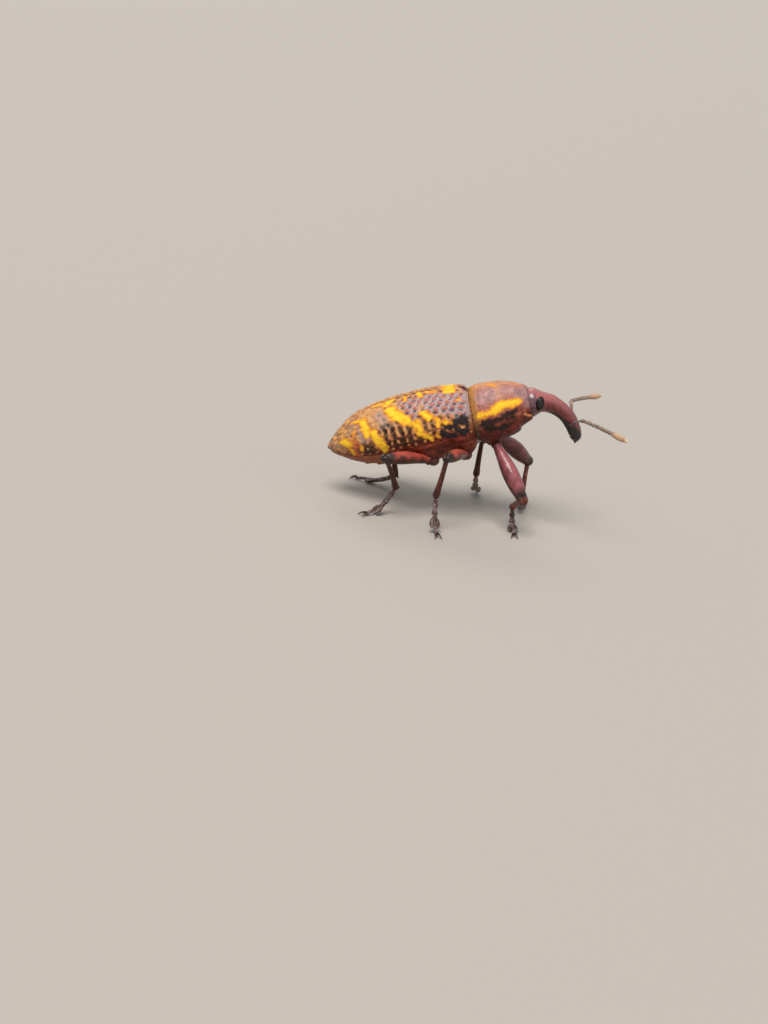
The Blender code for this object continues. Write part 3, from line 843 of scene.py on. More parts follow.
# %% Centre line of head and snout, in mm: place, height, half height, half width
HEAD_AND_SNOUT = (
    (5.60, 0.26, 1.30, 1.34),
    (6.00, 0.22, 1.46, 1.50),
    (6.35, 0.18, 1.46, 1.52),
    (6.60, 0.14, 1.35, 1.44),
    (6.92, 0.08, 1.17, 1.29),
    (7.25, -0.01, 1.02, 1.10),
    (7.60, -0.14, 0.96, 0.94),
    (7.95, -0.34, 0.93, 0.84),
    (8.50, -0.79, 0.84, 0.73),
    (9.00, -1.37, 0.78, 0.68),
    (9.37, -1.98, 0.75, 0.67),
    (9.60, -2.62, 0.72, 0.69),
    (9.76, -3.25, 0.70, 0.72),
    (9.82, -3.80, 0.65, 0.74),
    (9.80, -4.25, 0.56, 0.68),
    (9.75, -4.52, 0.36, 0.46),
)
EYE_PLACE = np.array((6.95, 1.02, 0.14))
EYE_SIZE = np.array((0.38, 0.37, 0.69))
FEELER_ROOT_HEIGHT = -2.70
HEAD_RINGS, HEAD_STEPS = 340, 144
LINE_STEPS = 900


def snout_line(count):
    """Evenly spaced rings on the centre line: place, height, half height, half width and the run so far."""
    index = np.linspace(0, len(HEAD_AND_SNOUT) - 1, LINE_STEPS)
    table = [(i, *row) for i, row in enumerate(HEAD_AND_SNOUT)]
    values = np.stack([curve(table, column, index) for column in (1, 2, 3, 4)])
    run = np.concatenate(((0,), np.cumsum(np.hypot(np.diff(values[0]), np.diff(values[1])))))
    at = stations(0, run[-1], count)
    return *(np.interp(at, run, row) for row in values), at


def head_relief(at, turn, ring, fold, eye, root, end):
    """Height over the smooth tube, where eye, root and end are places on its run."""
    top = np.sin(turn)
    groove = hump(top, fold, 0.10) * ease(at, eye + 0.9, eye + 2.0) * ease(root + 0.15 - at, 0, 0.3)
    keel = hump(turn, np.pi / 2, 0.12) * ease(at, eye + 0.3, eye + 1.2) * ease(root - at, -0.4, 0.4)
    beside = hump(np.abs(turn - np.pi / 2), 0.34, 0.14)
    beside = beside * ease(at, eye + 0.5, eye + 1.4) * ease(root - at, -0.2, 0.5)
    dimple = hump(at, eye + 0.05, 0.16) * hump(turn, np.pi / 2, 0.12)
    height = (
        -0.16 * (1 - ease(ring, 0.86, 1.04))
        + 0.03 * hump(ring, 1.13, 0.10)
        - 0.13 * groove
        + 0.035 * keel
        - 0.035 * beside
        - 0.10 * dimple
        + 0.012 * ripple(at, turn * 0.9, 0.5)
        - 0.10 * hump(at, end - 0.55, 0.10) * ease(-top, 0.2, 0.8)
    )
    return height * ease(at, 0, 0.4) * ease(end - at, 0, 0.2)


def head_shell():
    """Tube along the centre line, with eye sockets, grooves for the feelers and a keel."""
    s, t, half_height, half_width, run = snout_line(HEAD_RINGS)
    turn, at = turns(HEAD_STEPS), run[:, None]
    root = np.interp(-FEELER_ROOT_HEIGHT, -t, run)
    eye = np.interp(EYE_PLACE[0], s, run)
    tall = t[:, None] + half_height[:, None] * np.sin(turn)
    ring = np.hypot((s[:, None] - EYE_PLACE[0]) / EYE_SIZE[0], (tall - EYE_PLACE[2]) / EYE_SIZE[2])
    ring = np.where(np.abs(np.cos(turn)) > 0.5, ring, -OUTSIDE)
    bends = (eye + 0.7, root - 0.9, root, root + 0.7, run[-1])
    fold = np.interp(at, bends, (-0.92, -0.55, -0.12, 0.55, 1.4))
    height = head_relief(at, turn, ring, fold, eye, root, run[-1])
    rings = sweep(to_world(s, 0.0, t), LEFT, half_width, half_height, HEAD_STEPS, height)
    return shell(
        rings,
        under=(fold - np.sin(turn)) * 0.7,
        # top: height round the tube, which the finish uses for painted light on the upper side
        top=np.sin(turn),
        socket=1 - ease(ring, 0.95, 1.12),
        nape=eye - 0.32 - at,
    )


def head_finish():
    """Purple-red polished horn that darkens toward the tip, black below, with a blue-grey nape and a
    painted highlight along the top, brightest near the nape.
    """
    look = Look("head_horn", 0.34, coat=0.5, specular=0.3)
    top = look.mark("top")
    near = look.mark("nape").between(-5.2, -0.8)
    red = look.mottled((0.085, 0.010, 0.010), (0.16, 0.026, 0.024), 0.45, 0.35, 0.65)
    grey = look.mottled((0.022, 0.013, 0.015), (0.105, 0.064, 0.078), 0.35, 0.38, 0.6)
    beside = (1.0 - top.between(0.5, 0.95)) * 0.8
    colour = layered(
        (near * 0.5 + 0.5).mix((0.03, 0.004, 0.004), red),
        # painted light: a lighter red over the top of head and snout, brightest near the nape
        (top.between(-0.05, 0.90) * 0.75, near.mix((0.13, 0.030, 0.026), (0.34, 0.105, 0.104))),
        (look.patch("nape", 0.8, 0.4, 0.15) * beside, grey),
        (look.mark("socket").between(0.2, 0.9), (0.022, 0.014, 0.014)),
        (look.patch("under", 0.16, 0.3, 0.06), (0.008, 0.004, 0.003)),
    )
    return look.finished(colour, look.cells(0.13).between(0.08, 0.36) + look.grain(0.07) * 0.5, 0.014)


piece("head_and_snout", [head_shell()], head_finish(), "head", "head", "rostrum")

# %% Jaws: root, tip and radius of each hook, in mm
JAW_HOOKS = (
    ((9.80, 0.26, -4.25), (9.62, 0.05, -4.82), 0.24),
    ((9.78, 0.42, -4.35), (9.66, 0.36, -4.74), 0.12),
    ((9.95, 0.22, -4.30), (9.92, 0.16, -4.70), 0.12),
)
JAW_RINGS, JAW_STEPS = 20, 24


def black_horn(name, roughness):
    """Polished black horn with a trace of red."""
    return plain_horn(name, roughness, 0.3, (0.010, 0.007, 0.006), (0.045, 0.018, 0.014), 0.06, 0.008)


def tapered(radius, u, power, start):
    """Radius of a hook: it falls as a quarter circle does towards the tip, and opens over its start."""
    return radius * np.sqrt(np.clip(1 - u**power, 0.0004, 1)) * np.sqrt(np.clip(u / start, 0.01, 1))


def hook(path, radius):
    """Round hook along a path."""
    size = tapered(radius, np.linspace(0, 1, len(path)), 1.6, 0.04)
    return shell(sweep(path, LEFT + 0.2 * FORWARD, size, size, JAW_STEPS))


def jaw_shells():
    """Each jaw is a hook that leans in, with a tooth outside and one inside."""
    shells = []
    for hand in HANDS.values():
        for root, tip, radius in JAW_HOOKS:
            u = np.linspace(0, 1, JAW_RINGS)
            s, y, t = (a + (b - a) * u for a, b in zip(root, tip))
            shells.append(hook(to_world(s, hand * (y + 0.05 * arch(u)), t), radius))
    return shells


piece("jaws", jaw_shells(), black_horn("jaw_horn", 0.25), "snout", "rostrum")

# %% [markdown]
# ## Eyes
# A weevil's eye is a long oval of hundreds of tiny lenses. Each eye here is half
# sunk in its socket: an ellipsoid in the body's frame, and the lenses are bump.

# %% Eyes
EYE_RINGS, EYE_STEPS = 64, 80


def eye_shell(hand):
    """Ellipsoid: centre + size·(sin a·cos b, sin a·sin b, cos a)."""
    a = np.linspace(0.03, np.pi - 0.03, EYE_RINGS)[:, None]
    b = turns(EYE_STEPS)
    s = EYE_PLACE[0] + EYE_SIZE[0] * np.sin(a) * np.cos(b)
    y = EYE_PLACE[1] + EYE_SIZE[1] * np.sin(a) * np.sin(b)
    t = EYE_PLACE[2] + EYE_SIZE[2] * np.cos(a)
    return shell(to_world(s, hand * y, t))


def eye_finish():
    """Black lenses under a clear gloss."""
    look = Look("eye_lenses", 0.28, specular=0.35)
    colour = look.grain(0.5).mix((0.006, 0.004, 0.005), (0.022, 0.014, 0.016))
    return look.finished(colour, 1.0 - look.cells(0.036), 0.007)


lenses = eye_finish()
for side, hand in HANDS.items():
    piece("eye_lens_" + side, [eye_shell(hand)], lenses, "eye", "eye_" + side)

# %% [markdown]
# ## Legs
# Each leg is set out from its hip by five angles: where the thigh and the shin
# point, and which way the foot lies on the floor. Thighs are clubs that swell
# before the knee, shins are slim rods with keels and a hook at the end, and a
# foot has three pads, the last in two lobes, then a claw joint with two claws.

# %% Places and angles of the legs: hip place in mm, hip radius, lengths of thigh, shin and foot
LEGS = {
    "front": ((1.75, 0.82, -2.45), 0.85, 7.1, 4.6, 4.2),
    "mid": ((-1.10, 1.85, -3.30), 0.58, 5.0, 4.2, 4.2),
    "hind": ((-4.40, 2.40, -3.04), 0.62, 5.9, 4.7, 4.4),
}
ALL_LEGS = [(pair, side) for side in HANDS for pair in LEGS]
POSE = {
    ("front", "right"): (-44.5, -41.5, 98, -29, -84),
    ("front", "left"): (45, -30, -91, -58, 84),
    ("mid", "right"): (-114, 8, 134, -82, -72),
    ("mid", "left"): (70, -2, -92, -72, 80),
    ("hind", "right"): (-144, 4.5, 60, -51, -141),
    ("hind", "left"): (144, -2, -50, -65, 168),
}
THIGH_SHAPE = {
    "front": (
        *((0, 0.46), (0.12, 0.46), (0.3, 0.62), (0.47, 0.8)),
        *((0.62, 0.87), (0.8, 0.78), (0.93, 0.62), (1, 0.57)),
    ),
    "mid": ((0, 0.46), (0.14, 0.44), (0.3, 0.5), (0.62, 0.62), (0.8, 0.59), (0.93, 0.49), (1, 0.48)),
    "hind": ((0, 0.46), (0.12, 0.42), (0.3, 0.5), (0.62, 0.66), (0.8, 0.62), (0.93, 0.5), (1, 0.49)),
}
SHIN_SHAPE = ((0, 0.24), (0.06, 0.27), (0.15, 0.24), (0.5, 0.26), (0.85, 0.31), (0.96, 0.36), (1, 0.35))
SOLE_DEPTH = 0.18


def heading(azimuth, elevation):
    """Unit vector at an azimuth and an elevation in degrees."""
    a, e = math.radians(azimuth), math.radians(elevation)
    return np.array((math.cos(e) * math.cos(a), math.cos(e) * math.sin(a), math.sin(e)))


def leg_points(pair, side):
    """Hip, knee and ankle, and the directions of thigh and shin."""
    place, _, thigh_length, shin_length, _ = LEGS[pair]
    thigh_turn, thigh_rise, shin_turn, shin_rise, _ = POSE[pair, side]
    hip = to_world(place[0], HANDS[side] * place[1], place[2])
    thigh, shin = heading(thigh_turn, thigh_rise), heading(shin_turn, shin_rise)
    knee = hip + thigh * thigh_length
    return hip, knee, knee + shin * shin_length, thigh, shin


def square_to(direction, axis):
    """Unit vector of what is left of a direction when its part along an axis is taken away."""
    return unit(direction - axis * np.dot(direction, axis))


def rounded(run, length, near, far):
    """Shrinks a limb to a round cap over the lengths near and far at its two ends."""
    start = np.clip(1 - run / near, 0, 1)
    end = np.clip(1 - (length - run) / far, 0, 1)
    return np.sqrt(np.maximum(1 - start**2, 1e-4)) * np.sqrt(np.maximum(1 - end**2, 1e-4))


# %% [markdown]
# ## Underside
# Chest and belly are one skin below the wing cases. The belly's plates overlap
# like roof tiles, each standing a little proud at its rear edge, and grooves part
# the plates of the chest. The hips are balls, half sunk in the body, that hold the
# thighs; the front ones wear the fore-body's horn and the rear ones a darker horn.

# %% Chest and belly
BELLY_PLATES = (-5.35, -7.4, -8.9, -10.1, -11.3)
SIDE_SEAM = 0.20
REAR_END, FRONT_END = -14.45, 0.15
UNDER_RINGS, BELLY_STEPS, LID_STEPS = 320, 170, 9


def underside_shell():
    """Sheet round the belly with plates, grooves and swellings at the hips, then a lid above it."""
    s = stations(REAR_END, FRONT_END, UNDER_RINGS)[:, None]
    start = edge_angle(s, curve(CASE_EDGE, 1, s) - 0.06)
    angle = start + (2 * np.pi - 2 * start) * np.linspace(0, 1, BELLY_STEPS)[None]
    y, t = section(HIND_BODY, s, angle)
    from_edge = np.minimum(angle - start, 2 * np.pi - start - angle)
    height = 0.02 * ripple(s, angle * 3.4, 1.2)
    for place in BELLY_PLATES:
        bowed = place + 0.25 * hump(from_edge, 0, 0.4)
        height = height + 0.11 * (1 - ease(s - bowed, 0.0, 0.9)) * ease(s - bowed, -0.04, 0.02)
    chest = ease(s, -5.3, -5.1)
    height = height - 0.07 * hump(from_edge, SIDE_SEAM, 0.035) * chest
    height = height - 0.06 * hump(s + 2.1 + 1.2 * (from_edge - 0.4), 0, 0.07) * chest
    height = height - 0.06 * hump(angle, np.pi, 0.03) * ease(s, -5.2, -4.6) * ease(-1.8 - s, 0, 0.4)
    for pair in ("mid", "hind"):
        place = LEGS[pair][0]
        from_hip = np.hypot((s - place[0]) / 1.1, (np.abs(y) - place[1]) / 0.9)
        height = height + 0.50 * np.exp(-(from_hip**2)) * (t < 0)
    height = height * ease(from_edge, 0, 0.06) * ease(np.minimum(s - REAR_END, FRONT_END - s), 0, 0.3)
    sheet = to_world(s, -y, t)
    sheet = sheet - outward(sheet) * height[..., None]
    lid_height = t[:, :1] + 0.1 * ease(s, -14.4, -13.5)
    lid = to_world(s, -y[:, -1:] * np.linspace(0.96, -0.96, LID_STEPS), lid_height)
    return shell(np.concatenate((sheet, lid), axis=1), tail=-8.0 - s)


def underside_finish():
    """Dark red horn, lighter toward the tail, with a thin bloom of short pale hair."""
    look = Look("underside_horn", 0.42, specular=0.25)
    colour = layered(
        look.mottled((0.075, 0.008, 0.003), (0.19, 0.028, 0.012), 0.7, 0.35, 0.65),
        (look.patch("tail", 2.0, 1.0, 1.5) * 0.65, (0.33, 0.11, 0.045)),
        (look.flecks(0.22, 0.58, 0.68, 0.4), (0.26, 0.11, 0.045)),
    )
    return look.finished(colour, look.cells(0.22).between(0.08, 0.34) + look.grain(0.1) * 0.6, 0.03)


piece("underside", [underside_shell()], underside_finish(), "belly", "metathorax", "abdomen")

# %% Hips
HIP_RINGS, HIP_STEPS = 40, 56


def hip_shell(pair, side):
    """Slightly uneven ball, a little longer along the body."""
    place, radius = LEGS[pair][:2]
    a = np.linspace(0.04, np.pi - 0.04, HIP_RINGS)[:, None]
    b = turns(HIP_STEPS)
    size = radius * 0.93 * (1.0 + 0.02 * ripple(a, b, 1.5))
    s = place[0] + 1.04 * size * np.sin(a) * np.cos(b)
    y = place[1] + size * np.sin(a) * np.sin(b)
    t = place[2] + size * np.cos(a)
    bare = dict.fromkeys((*FORE_PATTERN, "high", "front"), OUTSIDE)
    return shell(to_world(s, HANDS[side] * y, t), low=-OUTSIDE, **bare)


piece("front_hips", [hip_shell("front", side) for side in HANDS], horn, "fore_body", "prothorax")
hips = [hip_shell(pair, side) for pair in ("mid", "hind") for side in HANDS]
piece("rear_hips", hips, dark_horn, "belly", "metathorax")

# %% Thighs
THIGH_RINGS, THIGH_STEPS = 150, 64
COLLAR_RINGS, COLLAR_STEPS = 30, 48
COLLAR_LENGTH, COLLAR_RADIUS = 0.62, 0.53
KNEE, PALE_KNEE = (0.012, 0.006, 0.005), (0.036, 0.016, 0.012)


def thigh_shells(pair, side):
    """Ring joint at the hip, then the club: radius from the table, flattened by a twentieth."""
    radius, length = LEGS[pair][1:3]
    hip, _, _, thigh, shin = leg_points(pair, side)
    inward = square_to(shin, thigh)
    across = np.cross(thigh, inward)
    cap = THIGH_SHAPE[pair][-1][1]
    start = radius * 0.45
    run = stations(0, length - start + cap, THIGH_RINGS)
    share = np.clip((run + start) / length, 0, 1)
    size = curve(THIGH_SHAPE[pair], 1, share) * rounded(run, run[-1], 0.3, cap)
    bow = 0.16 * arch(share) ** 2
    path = hip + thigh * (start + run)[:, None] - inward * bow[:, None]
    turn = turns(THIGH_STEPS)
    inner = hump(np.abs((turn + np.pi / 2) % (2 * np.pi) - np.pi), 0, 0.5)
    notch = -0.26 * hump(share[:, None], 1.0, 0.06) * inner
    uneven = 0.012 * ripple(run[:, None], turn * size[:, None], 0.6)
    height = (notch + uneven) * ease(run, 0, 0.5)[:, None]
    rings = sweep(path, across, size * 0.95, size, THIGH_STEPS, height)
    far = share[:, None] + 0.03 * np.sin(turn)
    # high runs from −1 under the thigh to 1 on top; the finish paints the thigh lighter the higher a place
    # is, as painted light from above
    high = np.clip((rings[..., 2] - path[:, None, 2]) / size[:, None], -1, 1)
    collar_run = stations(0, COLLAR_LENGTH, COLLAR_RINGS)
    collar_path = hip + thigh * (radius * 0.55 + collar_run)[:, None]
    collar_size = COLLAR_RADIUS * rounded(collar_run, COLLAR_LENGTH, 0.35, 0.35)
    collar = sweep(collar_path, across, collar_size, collar_size, COLLAR_STEPS)
    return [shell(rings, far=far, high=high), shell(collar, far=0.0, high=-1.0)]


def thigh_finish(name, dark, light, knee, tip):
    """Smooth horn between two reds, laid dark below and light above as painted shading from above; dark
    where it leaves the hip and black round the knee.
    """
    look = Look(name, 0.36, coat=0.35, specular=0.2)
    far = look.mark("far")
    place = far + look.wandering(0.5, 0.07)
    colour = layered(
        # painted light and shade: dark red underneath, light red on top, by height
        (look.mark("high") * 0.32 + look.grain(1.0, 4.0)).between(0.38, 0.84).mix(dark, light),
        ((1.0 - far.between(0.04, 0.20)) * 0.7, (0.06, 0.008, 0.005)),
        (place.between(knee - 0.10, knee + 0.03), look.mottled(KNEE, PALE_KNEE, 0.5, 0.4, 0.62)),
        (place.between(tip, tip + 0.03), (0.09, 0.020, 0.012)),
    )
    return look.finished(colour, look.cells(0.15) + look.grain(0.08), 0.008)


# per thigh: the red of its painted shaded underside, the red of its painted lit top, where the knee starts,
# where a red tip starts
thigh_horn = {
    "front": thigh_finish("front_thigh_horn", (0.070, 0.012, 0.013), (0.25, 0.070, 0.078), 0.93, 0.99),
    "mid": thigh_finish("mid_thigh_horn", (0.075, 0.011, 0.007), (0.33, 0.066, 0.042), 0.93, 1.2),
    "hind": thigh_finish("hind_thigh_horn", (0.050, 0.008, 0.005), (0.33, 0.056, 0.036), 0.92, 1.2),
}
for pair, side in ALL_LEGS:
    node = f"femur_{pair}_{side}"
    piece(f"thigh_{pair}_{side}", thigh_shells(pair, side), thigh_horn[pair], "thigh", node)

# %% Shins
SHIN_RINGS, SHIN_STEPS = 130, 72
SPUR_RINGS, SPUR_STEPS = 30, 20
KEELS = 6


def shin_shells(pair, side):
    """Rod with six fine keels from inside the knee to the ankle, and its inward hook."""
    _, knee, ankle, thigh, shin = leg_points(pair, side)
    length = np.linalg.norm(ankle - knee)
    run = stations(0, length + 0.25, SHIN_RINGS)
    share = np.clip(run / length, 0, 1)
    size = curve(SHIN_SHAPE, 1, share) * rounded(run, run[-1], 0.2, 0.3)
    inward = square_to(-thigh, shin)
    path = knee + shin * run[:, None] + inward * (0.10 * arch(share))[:, None]
    across = np.cross(shin, inward)
    turn = turns(SHIN_STEPS)
    keels = 0.016 * np.cos(KEELS * turn) * (ease(share, 0.06, 0.2) * ease(1 - share, 0.02, 0.1))[:, None]
    beads = 0.010 * ripple(run[:, None], turn * 0.3, 0.25)
    height = keels + beads * ease(share, 0.02, 0.1)[:, None]
    rod = sweep(path, across, size, size * 0.94, SHIN_STEPS, height)
    u = np.linspace(0, 1, SPUR_RINGS)
    reach = 0.55 * u
    rise = 0.12 + 0.75 * reach - 0.25 * reach * u
    tip = ankle + shin * (0.02 + 0.62 * reach)[:, None] + inward * rise[:, None]
    spur_size = 0.13 * np.sqrt(np.clip(1 - u**1.4, 0.0004, 1))
    spur = sweep(tip, across, spur_size, spur_size, SPUR_STEPS)
    return [shell(rod, far=share[:, None]), shell(spur, far=1.0)]


def shin_finish(name, dark, light):
    """Rod of dark horn between two colours, greyer at the knee, with pale flecks between its keels."""
    look = Look(name, 0.42, specular=0.3)
    colour = layered(
        look.mottled(dark, light, 0.5, 0.35, 0.65),
        ((1.0 - look.mark("far").between(0.06, 0.26)) * 0.8, (0.034, 0.018, 0.013)),
        (look.flecks(0.12, 0.58, 0.68, 0.3), (0.17, 0.085, 0.055)),
    )
    return look.finished(colour, look.cells(0.12) + look.grain(0.06), 0.02)


shin_horn = {
    "front": shin_finish("front_shin_horn", (0.090, 0.020, 0.012), (0.23, 0.060, 0.034)),
    "mid": shin_finish("shin_horn", (0.028, 0.006, 0.004), (0.088, 0.019, 0.011)),
}
shin_horn["hind"] = shin_horn["mid"]
for pair, side in ALL_LEGS:
    piece(f"shin_{pair}_{side}", shin_shells(pair, side), shin_horn[pair], "shin", f"tibia_{pair}_{side}")

# %% [markdown]
# ## Feet
# A foot's line leaves the ankle and comes down to the floor on a smooth bend. Its
# joints are cones that widen forward, the third splits into two round lobes, and
# the long claw joint rises between them and ends in two hooks. The soles are
# pads of short dense hair, which show as grey plush below each joint, and grey
# patches lie over the joints, partly grey down and partly a painted sheen.

# %% Lines of the feet
LINE_POINTS, HALVINGS = 121, 30


def foot_path(pair, side):
    """Bend from ankle to floor: a quadratic curve whose run is the foot's length, found by halving."""
    ankle = leg_points(pair, side)[2]
    length = LEGS[pair][4]
    ahead = heading(POSE[pair, side][4], 0)
    reach = (0.0, length)
    u = np.linspace(0, 1, LINE_POINTS)[:, None]
    for _ in range(HALVINGS):
        middle = sum(reach) / 2
        toe, bend = (np.append((ankle + ahead * middle * share)[:2], SOLE_DEPTH) for share in (1, 0.42))
        path = ankle * (1 - u) ** 2 + 2 * bend * u * (1 - u) + toe * u**2
        run = np.linalg.norm(np.diff(path, axis=0), axis=1).sum()
        reach = (middle, reach[1]) if run < length else (reach[0], middle)
    return path, ahead


def on_path(path, shares):
    """Points at shares of a path's whole run."""
    run = np.concatenate(((0,), np.cumsum(np.linalg.norm(np.diff(path, axis=0), axis=1))))
    return np.stack([np.interp(np.asarray(shares) * run[-1], run, path[:, k]) for k in range(3)], axis=-1)


def flat_soled(rings):
    """Presses what would reach below the floor flat onto it."""
    rings[..., 2] = np.maximum(rings[..., 2], 0.0)
    return rings


# %% Joints of a foot: start, end, half width at start and end, half height
FOOT_JOINTS = (
    (0.05, 0.255, 0.17, 0.33, 0.24),
    (0.23, 0.44, 0.18, 0.37, 0.24),
    (0.41, 0.60, 0.19, 0.34, 0.22),
)
LOBES = (0.50, 0.76, 0.27, 0.20)
CLAW_JOINT = (0.56, 1.0)
CLAW_LENGTH = 0.92
CLAW_SPREAD = 24
PAD_STEPS, CLAW_STEPS = 40, 20
PAD_RINGS, LOBE_RINGS, JOINT_RINGS, CLAW_RINGS = 34, 30, 50, 40


def foot_shells(pair, side):
    """Three pads that widen forward, the two lobes of the last, and the claw joint above them."""
    path, ahead = foot_path(pair, side)
    across = np.cross(ahead, SKY)
    turn = turns(PAD_STEPS)
    shells = []
    for start, end, narrow, wide, tall in FOOT_JOINTS:
        u = stations(0, 1, PAD_RINGS)
        cap = rounded(u, 1, 0.2, 0.14)
        width = (narrow + (wide - narrow) * u**1.3) * cap
        uneven = 0.01 * ripple(u[:, None] * 4, turn, 0.8)
        line = on_path(path, start + (end - start) * u)
        rings = sweep(line, across, width, tall * cap, PAD_STEPS, uneven)
        shells.append(shell(flat_soled(rings), sole=np.sin(turn)))
    for hand in HANDS.values():
        u = stations(0, 1, LOBE_RINGS)
        apart = hand * (0.10 + 0.22 * np.sin(0.5 * np.pi * u))
        line = on_path(path, LOBES[0] + (LOBES[1] - LOBES[0]) * u) + across * apart[:, None]
        round_end = np.sqrt(np.clip(1 - (2 * u - 1) ** 2, 1e-4, 1))
        rings = sweep(line, across, LOBES[2] * round_end, LOBES[3] * round_end, PAD_STEPS)
        shells.append(shell(flat_soled(rings), sole=np.sin(turn)))
    u = stations(0, 1, JOINT_RINGS)
    line = on_path(path, CLAW_JOINT[0] + (CLAW_JOINT[1] - CLAW_JOINT[0]) * u)
    line[:, 2] += 0.12 * arch(u) + 0.05
    size = (0.13 + 0.07 * u**2) * rounded(u * 1.6, 1.6, 0.15, 0.18)
    shells.append(shell(flat_soled(sweep(line, across, size, size, PAD_STEPS)), sole=-1.0))
    return shells


def claw_shells(pair, side):
    """Two hooks that spread from the claw joint, rise and come down to the floor."""
    path, ahead = foot_path(pair, side)
    u = np.linspace(0, 1, CLAW_RINGS)
    shells = []
    for hand in HANDS.values():
        out = heading(POSE[pair, side][4] + hand * CLAW_SPREAD, 0)
        root = path[-1] - ahead * 0.2 + np.array((0, 0, 0.06))
        line = root + out * (CLAW_LENGTH * u)[:, None]
        line[:, 2] += 0.16 * arch(u**0.8) - 0.17 * u**2
        size = tapered(0.115, u, 1.7, 0.05)
        rings = sweep(line, np.cross(out, SKY), size * 0.85, size, CLAW_STEPS)
        shells.append(shell(flat_soled(rings)))
    return shells


def foot_finish():
    """Dark brown joints with grey patches, partly grey down and partly a painted sheen, with plush on the
    soles and pale flecks of hair.
    """
    look = Look("foot_horn", 0.42, coat=0.2, specular=0.3)
    colour = layered(
        look.grain(0.3).mix((0.018, 0.008, 0.007), (0.072, 0.030, 0.024)),
        # grey patches: partly grey down, partly painted sheen
        (look.grain(0.42).between(0.48, 0.60) * 0.65, (0.23, 0.165, 0.165)),
        (look.mark("sole").between(0.25, 0.75), (0.24, 0.16, 0.12)),
        (look.flecks(0.09, 0.56, 0.66, 0.4), (0.26, 0.18, 0.15)),
    )
    return look.finished(colour, look.cells(0.09) + look.grain(0.04), 0.02)


foot_horn = foot_finish()
claw_horn = black_horn("claw_horn", 0.3)
for pair, side in ALL_LEGS:
    node = f"tarsus_{pair}_{side}"
    piece(f"foot_{pair}_{side}", foot_shells(pair, side), foot_horn, "foot", node)
    piece(f"claws_{pair}_{side}", claw_shells(pair, side), claw_horn, "foot", node)

# %% [markdown]
# ## Feelers
# An elbowed feeler has a slim stalk that thickens to the elbow, seven small beads
# and a pointed club of close joints. Each of the three is one sweep, with the
# radius as a function of the run: a bead is the square root of half a sine wave.

# %% Feelers: root in the snout's side, then elbow, start of the club and tip, in mm
FEELERS = {
    "right": ((10.87, -2.90, -1.91), (13.30, -3.40, -3.57), (14.72, -3.70, -4.67)),
    "left": ((10.02, 2.60, -1.22), (11.84, 4.60, -1.76), (13.23, 6.00, -2.22)),
}
BEADS = 7
STALK_STEPS, CLUB_STEPS = 28, 40
STALK_RINGS, BEAD_RINGS, CLUB_RINGS = 90, 240, 150
CLUB_SHAPE = ((0, 0.15), (0.12, 0.18), (0.3, 0.27), (0.5, 0.32), (0.65, 0.30), (0.85, 0.19), (1, 0.10))


def feeler_part(line, size, around, club):
    """Round sweep along a line in the body's frame, marked with how far along the club it lies."""
    return shell(sweep(to_world(*line.T), UPWARD, size, size, around), club=club)


def feeler_shells(side):
    """The stalk from its root in the snout to the elbow, then the beads, then the club."""
    s, t, _, half_width, _ = snout_line(200)
    at = np.argmin(np.abs(t - FEELER_ROOT_HEIGHT) + (s < 8.5) * 9)
    root = np.array((s[at] + 0.28, HANDS[side] * (half_width[at] - 0.18), FEELER_ROOT_HEIGHT + 0.04))
    elbow, club, tip = (np.array(joint) for joint in FEELERS[side])
    u = stations(0, 1, STALK_RINGS)
    line = root + (elbow - root) * u[:, None] * 1.01 + 0.10 * arch(u)[:, None] * SKY
    size = (0.105 + 0.10 * ease(u, 0.45, 0.95)) * rounded(u * 3, 3, 0.1, 0.22)
    stalk = feeler_part(line, size * (1 + 0.35 * hump(u, 0.03, 0.03)), STALK_STEPS, u[:, None] - 1.0)
    u = stations(0, 1, BEAD_RINGS)
    line = elbow + (club - elbow) * u[:, None] + 0.06 * arch(u)[:, None] * SKY
    share = u * BEADS % 1
    size = 0.10 + 0.085 * np.sqrt(arch(share)) * (0.85 + 0.3 * share) + 0.035 * u
    beads = feeler_part(line, size * rounded(u * 3, 3, 0.1, 0.1), STALK_STEPS, 0.0)
    u = stations(0, 1, CLUB_RINGS)
    line = club + (tip - club) * (u[:, None] * 1.10 - 0.10)
    joints = 1 - 0.05 * (hump(u, 0.34, 0.02) + hump(u, 0.55, 0.02) + hump(u, 0.74, 0.02))
    size = curve(CLUB_SHAPE, 1, u) * joints * rounded(u * 1.9, 1.9, 0.1, 0.10)
    return [stalk, beads, feeler_part(line, size, CLUB_STEPS, u[:, None])]


def feeler_finish():
    """Brown-red stalk and beads under pale down, and a tan, velvety club."""
    look = Look("feeler_horn", 0.55, sheen=0.4)
    place = look.mark("club")
    brown = look.mottled((0.095, 0.052, 0.036), (0.27, 0.175, 0.115), 0.2, 0.4, 0.6)
    stalk = place.between(-0.75, -0.25).mix((0.055, 0.014, 0.014), brown)
    tan = look.mottled((0.33, 0.18, 0.100), (0.46, 0.28, 0.165), 0.15, 0.38, 0.62)
    club = place.between(0.72, 1.0).mix(tan, (0.66, 0.50, 0.32))
    colour = place.between(0.0, 0.3).mix(stalk, club)
    return look.finished(colour, look.cells(0.07) + look.grain(0.03), 0.015)


feeler_horn = feeler_finish()
for side in HANDS:
    piece("feeler_" + side, feeler_shells(side), feeler_horn, "feeler", "antenna_" + side)

# %% [markdown]
# ## Hair that stands clear
# Most of the down on a weevil is too short to see one by one, so it is part of the
# finishes. Two places break the outline: the orange fringe in the join behind the
# fore-body, and the down on the feelers and legs. A hair is a three-sided spine
# of three rings and a tip.

# %% Hairs


